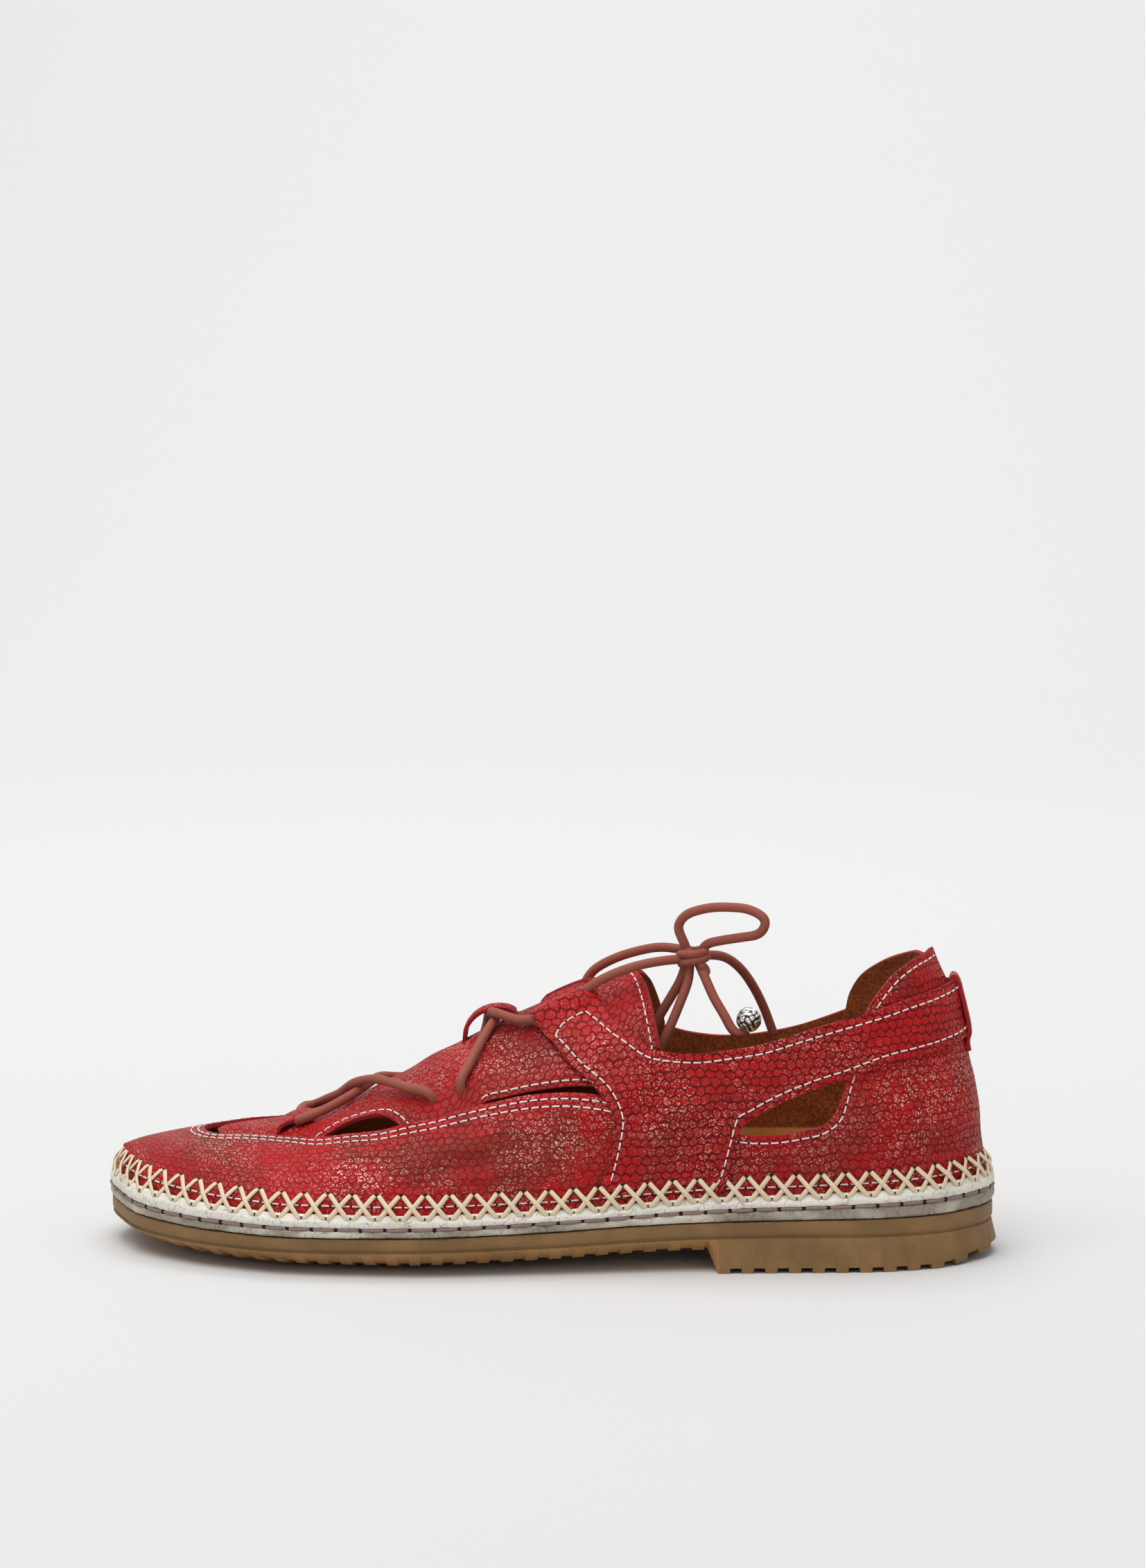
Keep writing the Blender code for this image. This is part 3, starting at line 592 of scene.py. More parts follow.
def red_leather(name, scale, shake, furrow, foil, rubbed, seed, bright_spots, painted_shade_spots=()):
    """Scales of a size in mm, shaken by mm; furrow, foil and rubbed set how strongly each one shows.

    Bright spots are where most of the foil flecks and their painted glints are left; the shade spots are
    ovals of painted shade, where the red is darkened.
    """
    finish = Finish(name)
    place = finish.hide.moved(offset=(seed, 0.37 * seed, 0.0))
    shaken = place.shaken(0.07, 3.0).shaken(0.3, shake).shaken(0.45, 1.4)
    edge, middle = shaken.moved(scale=(1.0 / scale[0], 1.0 / scale[1], 1.0)).honeycomb()
    tone = middle.noise(3.7, 0.0)
    plump = edge.between(0.015, 0.15)
    line = 1.0 - edge.between(0.012, 0.062)
    fine = place.noise(1.7, 3.0)
    rim = plump * (1.0 - edge.between(0.14, 0.3))
    patch = 0.75 * place.noise(0.06, 4.0, 0.65).between(0.42, 0.7)
    ragged = place.noise(0.2, 3.0, 0.6).between(0.36, 0.56)
    for spot in bright_spots:
        patch = patch.math("MAXIMUM", patch, ragged * spot_on(finish, *spot))
    worn = place.moved(offset=(71.0, 13.0, 5.0)).noise(0.05, 4.0, 0.65).between(0.45, 0.62)
    # Foil flecks, painted near white as painted glints, most of them in the bright spots.
    flecks = place.cells("F1", 1.0 / FLECK_SIZE, "Color")
    haze = place.noise(0.75, 3.0, 0.7).between(0.44, 0.7) * tone.between(0.36, 0.62) * plump
    bright = (flecks.part("X") + 0.1 * rim).between(0.83, 0.91) * (0.04 + 0.96 * patch) * plump * foil
    base = (0.6 * tone.between(0.3, 0.7) + 0.4 * fine).mix(RED_PLAIN, RED_LIGHT)
    base = (place.noise(0.03, 2.0).between(0.4, 0.7) * 0.45).mix(base, RED_DEEP)
    # Painted shade: the red is darkened in the given ovals.
    for strength, *spot in painted_shade_spots:
        base = (strength * spot_on(finish, *spot)).mix(base, RED_DEEP)
    base = (worn * rubbed * fine.between(0.3, 0.6)).mix(base, RUBBED_BROWN)
    base = (haze * foil * (0.06 + 0.36 * patch)).mix(base, HAZE_BROWN)
    base = (line * furrow).mix(base, FURROW_RED)
    # The flecks' colour: foil painted near white as painted glints.
    metal = flecks.part("Y").mix(FOIL_GLINT_PINK, FOIL_GLINT_WHITE)
    finish.put(Base_Color=bright.mix(base, metal), Metallic=bright * 0.3, Specular_IOR_Level=0.13)
    finish.put(Roughness=0.52 - 0.14 * plump - 0.16 * bright + 0.1 * worn)
    finish.relief(plump * 0.62 + fine * 0.3 + bright * 0.12, 0.36, 0.8)
    return finish.material


# Each oval: along, height, half length and half height in mm. A painted-shade oval has its strength first.
TOE_BRIGHT = ((36.0, 33.0, 14.0, 6.0), (78.0, 28.0, 16.0, 7.0), (132.0, 36.0, 16.0, 9.0))
# Ovals of painted shade: over the toe's front, and over the apron's rear beside the keeper and lace.
TOE_PAINTED_SHADE = ((0.32, 22.0, 30.0, 26.0, 14.0),)
APRON_BRIGHT = ((112.0, 60.0, 16.0, 7.0),)
APRON_PAINTED_SHADE = ((0.8, 124.0, 65.0, 15.0, 10.0),)
QUARTER_BRIGHT = ((165.0, 48.0, 13.0, 13.0), (193.0, 68.0, 12.0, 7.0))
COUNTER_BRIGHT = ((240.0, 50.0, 18.0, 11.0),)
LEATHER_TOE = red_leather("red_leather_toe_band", scale=(2.7, 2.35), shake=1.8, furrow=0.45, foil=0.85,
                          rubbed=0.9, seed=3.0, bright_spots=TOE_BRIGHT, painted_shade_spots=TOE_PAINTED_SHADE)
LEATHER_APRON = red_leather("red_leather_apron", scale=(2.9, 2.8), shake=1.5, furrow=0.5, foil=0.68,
                            rubbed=0.5, seed=41.0, bright_spots=APRON_BRIGHT, painted_shade_spots=APRON_PAINTED_SHADE)
LEATHER_QUARTER = red_leather("red_leather_quarter", scale=(2.8, 2.7), shake=1.7, furrow=0.8, foil=0.72,
                              rubbed=0.45, seed=87.0, bright_spots=QUARTER_BRIGHT)
LEATHER_COUNTER = red_leather("red_leather_counter", scale=(2.9, 2.7), shake=1.8, furrow=0.6, foil=0.9,
                              rubbed=0.65, seed=131.0, bright_spots=COUNTER_BRIGHT)
print("red leather for toe band, apron, quarters and counter")

# %% [markdown]
# ## Suede, cut edges and sock leather
# The flesh side of the hide lines the shoe: a brown nap with no gloss. Cut edges are dyed red and a
# little furry. The sock under the foot is smooth tan leather. All three are layered noises, at the
# scale of the nap or the grain, with bump and a high roughness.

# %% Suede, edge and sock
def napped(name, dark, light, grain, depth, roughness, foot=None):
    """Nap between two colours; foot gives a height in mm and the colour below it."""
    finish = Finish(name)
    place = finish.solid_in_mm()
    nap = place.noise(grain, 4.0, 0.7)
    cloud = place.noise(0.09, 3.0, 0.6)
    colour = (0.65 * nap.between(0.3, 0.7) + 0.45 * (cloud - 0.2)).mix(dark, light)
    if foot:
        colour = place.part("Z").between(foot[0] - 0.5, foot[0] + 0.5).mix(foot[1], colour)
    finish.put(Base_Color=colour)
    finish.put(Roughness=roughness + 0.1 * nap, Sheen_Weight=0.06, Sheen_Roughness=0.6)
    finish.put(Specular_IOR_Level=0.2)
    finish.relief(nap, depth, 0.8)
    return finish.material


FOOT_OF_WALL = (31.0, paint(206, 150, 84))
SUEDE = napped("brown_suede", paint(72, 26, 9), paint(180, 98, 47), 1.2, 0.4, 0.86, FOOT_OF_WALL)
CUT_EDGE = napped("red_cut_edge", paint(122, 18, 26), paint(186, 44, 50), 3.0, 0.2, 0.8)
SOCK = napped("tan_sock_leather", paint(170, 112, 52), paint(204, 146, 82), 0.9, 0.1, 0.5)
print("suede, cut edge and sock leather")


# %% [markdown]
# ## Soft creases
# Worn leather never lies quite smooth. A few troughs and ridges are placed where this shoe
# flexes: across the toe band at the ball, where the strap leaves the quarter, and down the counter.
# Each is a soft furrow with a place, a direction, a length, a width and a depth in millimetres.

# %% Creases
CREASE_COLUMNS = ("side", "along", "height", "turn", "length", "width", "depth")
CREASE_ROWS = (
    (LATERAL, 101.0, 29.0, 20.0, 12.0, 2.6, 0.5),
    (LATERAL, 113.0, 33.0, 12.0, 16.0, 3.2, 0.55),
    (LATERAL, 121.0, 27.0, 24.0, 10.0, 2.4, 0.4),
    (LATERAL, 88.0, 33.0, 30.0, 9.0, 2.4, 0.35),
    (LATERAL, 60.0, 26.0, 60.0, 10.0, 4.0, 0.4),
    (LATERAL, 160.0, 48.0, 30.0, 12.0, 4.0, 0.45),
    (LATERAL, 184.0, 49.0, 40.0, 7.0, 1.8, 0.5),
    (LATERAL, 228.0, 40.0, 70.0, 14.0, 5.0, 0.5),
    (LATERAL, 240.0, 46.0, 100.0, 12.0, 4.0, 0.45),
    (MEDIAL, 92.0, 31.0, 30.0, 12.0, 3.0, 0.5),
    (MEDIAL, 108.0, 33.0, 16.0, 14.0, 3.0, 0.5),
    (MEDIAL, 158.0, 46.0, 35.0, 14.0, 4.0, 0.5),
    (MEDIAL, 196.0, 40.0, 60.0, 16.0, 5.0, 0.6),
    (MEDIAL, 232.0, 44.0, 80.0, 13.0, 5.0, 0.5),
)


def soft_relief(points, side):
    """How far the leather stands off the last: creases, and a slow unevenness of the hide."""
    along, across, height = points[..., 0], points[..., 1], points[..., 2]
    total = 0.16 * np.sin(0.21 * along + 0.4 * height) * np.sin(0.17 * height + 0.11 * across + 1.0)
    total = total + 0.12 * np.sin(0.37 * along - 0.29 * height + 2.0)
    for row in CREASE_ROWS:
        crease = dict(zip(CREASE_COLUMNS, row))
        turn = math.radians(crease["turn"])
        off_along, off_height = along - crease["along"], height - crease["height"]
        run = (off_along * math.cos(turn) + off_height * math.sin(turn)) / crease["length"]
        off = (off_height * math.cos(turn) - off_along * math.sin(turn)) / crease["width"]
        shape = np.exp(-(off**2)) - 0.5 * np.exp(-((off - 1.6) ** 2)) - 0.3 * np.exp(-((off + 1.6) ** 2))
        total = total - np.where(side == crease["side"], crease["depth"] * shape * np.exp(-(run**2)), 0.0)
    return total


def wall_normals(angle, side, rise):
    """Outward normals of the wall, from small steps along it and up it."""
    step = 0.004
    after, before = np.minimum(angle + step, math.pi), np.maximum(angle - step, 0.0)
    higher, lower = np.minimum(rise + step, 1.0), np.maximum(rise - step, 0.0)
    run = wall(after, side, rise) - wall(before, side, rise)
    up = wall(angle, side, higher) - wall(angle, side, lower)
    return unit(np.cross(run, up)) * -np.asarray(side)[..., None]


print("creases:", len(CREASE_ROWS))


# %% [markdown]
# ## Cutting leather panels
# A panel is known by its marks: places in the side view, places seen from above, or places on the
# feather line where the upper meets the sole. All become a section angle and a rise, which every
# point of the wall has, so the same pattern serves the outer and the inner side.

# %% Panels on the last
def marked(marks, side):
    """Section angle and rise of pattern marks: side and top views, feather line, or heel seam."""
    found = []
    for view, first, second in marks:
        if view == "side":
            angle, rise = from_side(first, second, side)
        elif view == "top":
            angle, _, rise = from_top(first, second)
        elif view == "heel":
            angle, rise = math.pi, heel_rise(second)
        else:
            angle, rise = angle_of(first), second
        found.append((float(angle), float(rise)))
    return np.array(found)


def heel_rise(height):
    """Rise at which the heel seam reaches a height."""
    base = sole_table.at("top", BAND_LENGTH) + UPPER_LIFT
    return math.asin((height - base) / (crown_table.at_key("height", math.pi) - base)) * 2.0 / math.pi


def edge_curve(marks, side, count):
    """Smooth edge through pattern marks, as section angles and rises."""
    found = marked(marks, side)
    keys = lengths_along(wall(found[:, 0], np.full(len(found), side), found[:, 1]))
    return flow(found, np.linspace(0.0, 1.0, count), keys)


HIDE = 1.3
FOOT_TURN = 1.3
Panel = namedtuple("Panel", "piece points normals")


def side_map(angle, side, rise):
    """Millimetres round the outline and up the wall, on which scales lie level along the shoe."""
    turns = np.linspace(0.0, math.pi, 400)
    travel = [lengths_along(outline(turns, np.full(len(turns), way))) for way in (LATERAL, MEDIAL)]
    outer = np.interp(angle, turns, travel[0])
    inner = travel[0][-1] + travel[1][-1] - np.interp(angle, turns, travel[1])
    shares = np.linspace(0.0, 1.0, 17)
    steps = [wall(angle, side, rise * share) for share in shares]
    climb = sum(np.linalg.norm(upper - lower, axis=-1) for lower, upper in zip(steps, steps[1:]))
    return np.stack([np.where(side == LATERAL, outer, inner), climb], -1)


def leather(name, angle, side, rise, lift, finish, gap=None, level=False):
    """Leather panel over arrays of section angle, side and rise; gap marks grid faces to leave out."""
    points = wall(angle, side, rise)
    normals = wall_normals(angle, side, rise)
    shaped = points + normals * (lift + soft_relief(points, side))[..., None]
    shaped[..., 2] -= np.where(rise < 1e-6, FOOT_TURN, 0.0)
    form, place = grid_form(shaped, side_map(angle, side, rise) if level else hide_map(points))
    face_outwards(form, normals, place)
    if gap is not None:
        holes = [face for face in form.faces if all(gap(*place[vert]) for vert in face.verts)]
        bmesh.ops.delete(form, geom=holes, context="FACES")
    bmesh.ops.remove_doubles(form, verts=form.verts, dist=4e-5)
    piece = add_piece(name, form, (finish, SUEDE, CUT_EDGE))
    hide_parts("upper")
    hide_thickness(piece, HIDE)
    print(name, "faces:", len(piece.data.polygons))
    return Panel(piece, shaped, normals)


print("panel cutter ready")

# %% [markdown]
# ## Toe band
# One long strip runs round the toe from waist to waist, like the gathered edge of a moccasin. Its
# inner edge is a U that frames the apron. The sections in front of the U cross the whole toe; behind
# it they stop at the edge on each side, and the grid faces between the two edges are left out.

# %% Toe band
TOE_BAND_MARKS = tuple(("top", along, across) for along, across in (
    (27.6, 8.15),
    (28.4, 4.0),
    (30.8, 0.0),
    (38.5, -5.2),
    (51.5, -11.8),
    (65.5, -21.3),
    (73.5, -24.9),
    (81.8, -28.2),
    (89.2, -29.7),
    (98.9, -31.2),
    (106.6, -30.8),
    (116.7, -30.3),
    (126.9, -29.8),
    (137.2, -30.1),
    (146.2, -30.3),
    (158.0, -30.6),
))
TOE_COLUMNS, BAND_COLUMNS, BAND_RINGS = 26, 150, 28

toe_band_edge = edge_curve(TOE_BAND_MARKS, LATERAL, BAND_COLUMNS)
front_angles = np.linspace(0.0, toe_band_edge[0, 0], TOE_COLUMNS, endpoint=False)
band_angles = np.concatenate([front_angles, toe_band_edge[:, 0]])
band_tops = np.concatenate([np.full(TOE_COLUMNS, toe_band_edge[0, 1]), toe_band_edge[:, 1]])
ring_share = np.concatenate([np.linspace(0.0, 1.0, BAND_RINGS + 1), np.linspace(1.0, 0.0, BAND_RINGS + 1)])
ring_side = np.repeat([LATERAL, MEDIAL], BAND_RINGS + 1)
band_rise = band_tops[:, None] * ring_share[None, :]
band_side = np.broadcast_to(ring_side, band_rise.shape)
band_angle = np.broadcast_to(band_angles[:, None], band_rise.shape)


def behind_the_u(i, j):
    return i >= TOE_COLUMNS and j in (BAND_RINGS, BAND_RINGS + 1)


leather("toe_band", band_angle, band_side, band_rise, 0.0, LEATHER_TOE, behind_the_u)

# %% [markdown]
# ## Apron and tongue
# The apron fills the U and runs on as the tongue. Its sides are tucked under the toe band where the
# two are sewn together. In between they are scalloped, which leaves a slit at the toe, a half-moon
# on each side and a long slit before the quarters. Its lift over the last falls where it is tucked.

# %% Apron and tongue
APRON_MARKS = tuple(("top", along, across) for along, across in (
    (31.4, 8.0),
    (32.2, 4.2),
    (34.4, 0.6),
    (41.5, -4.6),
    (47.0, -9.4),
    (52.0, -15.4),
    (57.0, -19.6),
    (60.6, -20.2),
    (64.5, -19.1),
    (71.5, -18.8),
    (77.6, -20.1),
    (83.9, -23.0),
    (87.1, -26.2),
    (90.3, -30.6),
    (94.0, -34.6),
    (100.0, -36.0),
    (106.0, -35.0),
    (110.0, -31.4),
    (113.5, -29.7),
    (120.0, -29.3),
    (130.0, -28.9),
    (140.0, -28.9),
    (150.0, -28.8),
    (163.0, -25.6),
))
APRON_FRONT, TONGUE_SIDE_END, TONGUE_RIDGE_END = 31.4, 163.0, 154.6
APRON_COLUMNS, APRON_RINGS = 190, 24
TUCK, ARCH_RISE, SLIT_RISE, TONGUE_SINK, APRON_REST = -1.55, 1.3, 1.2, 1.3, 0.15

apron_edge = edge_curve(APRON_MARKS, LATERAL, APRON_COLUMNS)
edge_along = along_of(apron_edge[:, 0])
ridge_share = (TONGUE_RIDGE_END - APRON_FRONT) / (TONGUE_SIDE_END - APRON_FRONT)
ridge_angles = angle_of(APRON_FRONT + (edge_along - APRON_FRONT) * ridge_share)
across_share = np.linspace(-1.0, 1.0, 2 * APRON_RINGS + 1)
towards_edge = np.abs(across_share)[None, :]
apron_rise = 1.0 - (1.0 - apron_edge[:, 1])[:, None] * towards_edge
apron_angle = ridge_angles[:, None] + (apron_edge[:, 0] - ridge_angles)[:, None] * towards_edge
apron_side = np.broadcast_to(np.where(across_share <= 0.0, LATERAL, MEDIAL), apron_rise.shape)


def band_edge_gap(angle, side, rise):
    """Distance from the toe band's edge, negative where a point lies under the band."""
    places = wall(angle, side, rise)
    gap = np.full(places.shape[:-1], 1e9)
    for edge_side in (LATERAL, MEDIAL):
        edge = wall(toe_band_edge[:, 0], np.full(BAND_COLUMNS, edge_side), toe_band_edge[:, 1])
        for spot in edge:
            gap = np.minimum(gap, np.linalg.norm(places - spot, axis=-1))
    order = np.argsort(toe_band_edge[:, 0])
    band_top = np.interp(angle, toe_band_edge[order, 0], toe_band_edge[order, 1], left=1.0)
    return np.where(rise < band_top, -gap, gap)


def apron_lift(angle, side, rise):
    """Lift of the apron: tucked at the band, arched at the half-moon, raised at the slit, low as tongue."""
    along = along_of(angle)
    gap = band_edge_gap(angle, side, rise)
    tucked = TUCK * (1.0 - soft_step(0.5, 8.0, gap))
    arch = ARCH_RISE * bump_at(along, 77.0, 9.0) * bump_at(gap, 6.0, 5.0)
    slit = SLIT_RISE * soft_step(111.0, 115.0, along) * bump_at(gap, 2.0, 4.0)
    tongue = TONGUE_SINK * soft_step(126.0, 150.0, along)
    return tucked + arch + slit - tongue - APRON_REST


apron = leather("apron_tongue", apron_angle, apron_side, apron_rise,
                apron_lift(apron_angle, apron_side, apron_rise), LEATHER_APRON)
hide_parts("tongue")

# %% [markdown]
# ## Quarters with the heel strap
# Each quarter is one boot-shaped panel: it rises from the feather line to a tip at the throat, where
# a fold makes a tunnel for the lace, and runs back as a strap round the heel. Its grid is ruled from
# the lower edge to the upper one, and the sway of the front edge fades out behind it.

# %% Quarters
QUARTER_FRONT = (
    ("foot", 147.2, 0.0),
    ("side", 148.3, 27.1),
    ("side", 151.4, 36.3),
    ("side", 151.8, 44.8),
    ("side", 148.6, 49.3),
    ("side", 142.8, 55.4),
    ("side", 138.3, 58.8),
    ("side", 133.9, 63.2),
    ("top", 129.6, -14.8),
    ("top", 127.7, -10.4),
    ("top", 128.6, -5.0),
    ("top", 130.4, -1.2),
)
QUARTER_BOTTOM = (
    ("foot", 147.2, 0.0, 0.0),
    ("foot", 152.0, 0.0, 0.08),
    ("foot", 158.0, 0.0, 0.17),
    ("foot", 165.0, 0.0, 0.235),
    ("foot", 172.0, 0.0, 0.29),
    ("foot", 179.5, 0.0, 0.335),
    ("side", 182.4, 23.5, 0.36),
    ("side", 185.3, 33.0, 0.405),
    ("side", 187.0, 40.4, 0.435),
    ("side", 192.1, 45.0, 0.475),
    ("side", 198.7, 48.6, 0.52),
    ("side", 209.4, 53.1, 0.60),
    ("side", 218.2, 55.9, 0.68),
    ("side", 225.2, 58.4, 0.75),
    ("side", 240.4, 61.7, 0.89),
    ("heel", 0.0, 64.6, 1.0),
)
COLLAR_MARKS = (
    (144.2, 0.11), (150.0, 0.16), (156.0, 0.20), (161.0, 0.235), (168.0, 0.29), (176.0, 0.35),
    (183.0, 0.41), (194.0, 0.49), (204.0, 0.57), (218.0, 0.68), (226.0, 0.75), (240.0, 0.89),
)
STRAP_DROP = (
    (180.0, 0.0), (187.0, 2.5), (199.0, 6.2), (210.0, 6.7), (219.0, 5.6), (226.0, 4.4), (240.0, 1.9),
    (BAND_LENGTH, 0.0),
)
STRAP_TOP_AT_SEAM = 80.2
QUARTER_COLUMNS, QUARTER_ROWS = 190, 56
QUARTER_LIFT, QUARTER_FOOT_LIFT = 1.35, 0.35
FOOT_EASE = 7.0
TUNNEL_RISE, TUNNEL_REACH = 3.2, 3.4
HEEL_STAND_OFF = 1.7
SWAY_SHARE = 0.3
TUNNEL = {LATERAL: ((126.0, -10.8), (134.0, -10.0), (142.0, -9.7)),
          MEDIAL: ((126.0, 14.4), (134.0, 13.9), (142.0, 13.5))}


def quarter_patch(side):
    """Section angle and rise all over a quarter, ruled between its edges."""
    t = np.linspace(0.0, 1.0, QUARTER_COLUMNS + 1)
    s = np.linspace(0.0, 1.0, QUARTER_ROWS + 1)
    front = edge_curve(QUARTER_FRONT, LATERAL, QUARTER_ROWS + 1)
    bottom_marks = []
    for view, along, height, _ in QUARTER_BOTTOM:
        drop = np.interp(along, *zip(*STRAP_DROP)) if side == MEDIAL and view == "side" else 0.0
        bottom_marks.append((view, along, height - drop))
    bottom = flow(marked(bottom_marks, side), t, [mark[3] for mark in QUARTER_BOTTOM])
    tip = marked((("top", 130.4, -1.2), ("top", 135.0, -1.2), ("top", 140.0, -1.6)), LATERAL)
    column = "lateral" if side == LATERAL else "medial"
    collar = marked([("side", along, collar_table.at(column, along)) for along, _ in COLLAR_MARKS], side)
    seam = np.array([[math.pi, heel_rise(STRAP_TOP_AT_SEAM)]])
    top_keys = [0.0, 0.035, 0.07] + [key for _, key in COLLAR_MARKS] + [1.0]
    top = flow(np.concatenate([tip, collar, seam]), t, top_keys)
    t, s = t[:, None, None], s[None, :, None]
    sway = front[None] - (1.0 - s) * front[0] - s * front[-1]
    fade = np.clip(1.0 - t / SWAY_SHARE, 0.0, 1.0)
    ruled = (1.0 - s) * bottom[:, None] + s * top[:, None] + fade**2 * sway
    return np.clip(ruled, 0.0, [math.pi, 1.0])


def stand_of_quarter(above):
    """Lift of a quarter over the last by the height above the band; it is pressed in at its foot."""
    return QUARTER_FOOT_LIFT + (QUARTER_LIFT - QUARTER_FOOT_LIFT) * soft_step(0.0, FOOT_EASE, above)


def quarter_lift(angle, side, rise):
    """Lift of a quarter: over the panels beside it, up over the lace tunnel, and off the heel."""
    places = wall(angle, side, rise)
    lift = stand_of_quarter(places[..., 2] - sole_table.at("top", along_of(angle)))
    for tunnel_side, marks in TUNNEL.items():
        line = flow(marks, np.linspace(0.0, 1.0, 30))
        spots = wall(*from_top(line[:, 0], line[:, 1]))
        gap = np.min([np.linalg.norm(places - spot, axis=-1) for spot in spots], axis=0)
        lift = lift + np.where(side == tunnel_side, TUNNEL_RISE * bump_at(gap, 0.0, TUNNEL_REACH), 0.0)
    stand_off = soft_step(222.0, 250.0, along_of(angle)) * soft_step(62.0, 82.0, places[..., 2])
    return lift + HEEL_STAND_OFF * stand_off


quarters = {}
for side, name in ((LATERAL, "quarter_lateral"), (MEDIAL, "quarter_medial")):
    patch = quarter_patch(side)
    patch_angle, patch_rise = patch[..., 0], patch[..., 1]
    patch_side = np.full(patch_rise.shape, side)
    lift = quarter_lift(patch_angle, patch_side, patch_rise)
    quarters[side] = leather(name, patch_angle, patch_side, patch_rise, lift, LEATHER_QUARTER, level=True)
    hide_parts("heel_strap")

# %% [markdown]
# ## Heel counter
# The counter wraps the heel under the strap and stands up behind it as a rounded tab. On the outer
# side its front edge is scooped, which leaves the cut-out under the strap; on the inner side it runs
# closed under the quarter. Every column of its grid goes from the feather line to the marked edge.

# %% Heel counter
COUNTER_TAB = (
    ("side", 223.7, 74.4),
    ("side", 226.0, 78.4),
    ("side", 228.6, 81.6),
    ("side", 232.9, 85.6),
    ("side", 237.3, 88.0),
    ("side", 242.3, 89.7),
    ("heel", 0.0, 90.1),
)
COUNTER_OUTER = (
    ("side", 172.0, 47.0),
    ("side", 180.0, 42.2),
    ("side", 187.3, 39.9),
    ("side", 196.4, 39.4),
    ("side", 204.9, 40.5),
    ("side", 211.2, 42.2),
    ("side", 214.4, 45.2),
    ("side", 216.5, 49.4),
    ("side", 218.2, 55.8),
    ("side", 220.6, 65.0),
)
COUNTER_INNER = (
    ("side", 172.0, 48.0),
    ("side", 187.0, 49.0),
    ("side", 200.0, 52.0),
    ("side", 212.0, 57.0),
    ("side", 217.0, 64.0),
    ("side", 219.2, 72.6),
    ("side", 222.4, 78.0),
    ("side", 227.6, 82.2),
    ("side", 233.4, 85.5),
    ("side", 237.9, 87.4),
    ("side", 242.9, 88.9),
    ("heel", 0.0, 90.1),
)
COUNTER_COLUMNS, COUNTER_ROWS = 130, 48

outer_edge = edge_curve(COUNTER_OUTER + COUNTER_TAB, LATERAL, COUNTER_COLUMNS)
inner_edge = edge_curve(COUNTER_INNER, MEDIAL, COUNTER_COLUMNS)[::-1]
counter_edge = np.concatenate([outer_edge, inner_edge[1:]])
counter_side = np.where(np.arange(len(counter_edge)) < COUNTER_COLUMNS, LATERAL, MEDIAL)
up_share = np.linspace(0.0, 1.0, COUNTER_ROWS + 1)
counter_rise = counter_edge[:, 1][:, None] * up_share[None, :]
counter_angle = np.broadcast_to(counter_edge[:, 0][:, None], counter_rise.shape)
counter = leather("heel_counter", counter_angle, np.broadcast_to(counter_side[:, None], counter_rise.shape),
                  counter_rise, 0.0, LEATHER_COUNTER, level=True)

# %% [markdown]
# ## Gum rubber, foil leather, thread and metal
# Gum rubber is a warm brown, a little dusty, with a skin that scatters the light. A lighter copy of it
# on the forefoot's bevel is painted light, the light the bevel catches from the floor. The wrapped band is
# thin silver foil on leather: it crinkles, and dark lines show where the foil has cracked. Threads
# and the lace have fibres: a noise drawn out on a map that runs along them in millimetres.

# %% Other finishes
CRACK_GREY = paint(96, 88, 78)


def gum_rubber(name, dark, light):
    finish = Finish(name)
    place = finish.solid_in_mm()
    cloud = place.noise(0.06, 4.0, 0.6)
    dust = place.noise(1.4, 3.0, 0.7)
    streak = place.moved(scale=(0.25, 0.25, 3.0)).noise(0.5, 3.0, 0.6)
    tone = 0.7 * cloud.between(0.3, 0.7) + 0.3 * streak + 0.2 * (dust - 0.5)
    finish.put(Base_Color=tone.mix(dark, light), Roughness=0.46 + 0.16 * dust)
    finish.put(Specular_IOR_Level=0.35)
    finish.relief(0.6 * dust + 0.4 * streak, 0.1, 0.5)
    return finish.material


def foil_leather(name, light, grey, bare, seed):
    """Crinkled foil: fine wrinkles, dark cracks, and bare silver patches between the cream ones."""
    finish = Finish(name)
    place = finish.hide.moved(offset=(seed, 0.0, 0.0))
    wrinkle = place.shaken(0.35, 3.0).moved(scale=(1.0, 0.5, 1.0)).noise(1.1, 4.0, 0.66)
    shards = place.shaken(0.6, 2.2).moved(scale=(0.5, 0.34, 1.0))
    cracks = 1.0 - shards.cells("DISTANCE_TO_EDGE", 1.0).between(0.0, 0.045)
    cracks = cracks * place.noise(0.3, 2.0).between(0.42, 0.6)
    silver = place.moved(offset=(0.0, 31.0, 0.0)).noise(0.03, 3.0, 0.55).between(bare[0], bare[1])
    worn = place.noise(2.6, 3.0, 0.7).between(0.5, 0.7) * (0.12 + 0.5 * silver)
    tone = silver + 0.5 * (wrinkle - 0.5)
    colour = (cracks * 0.7 + worn).mix(tone.mix(light, grey), CRACK_GREY)
    finish.put(Base_Color=colour, Metallic=0.1 + 0.5 * silver)
    finish.put(Roughness=0.5 + 0.2 * wrinkle - 0.16 * silver)
    finish.relief(wrinkle - 0.3 * cracks, 0.5, 0.75)
    return finish.material


def yarn(name, dark, light, roughness):
    """Sewing thread or cord: short fibres on the thread's own map, along by round."""
    finish = Finish(name)
    fuzz = finish.hide.moved(scale=(6.0, 3.0, 1.0)).noise(1.0, 3.0, 0.7)
    finish.put(Base_Color=(0.56 + 0.4 * fuzz).mix(dark, light), Roughness=roughness)
    finish.relief(0.3 * fuzz, 0.12, 0.8)
    return finish.material


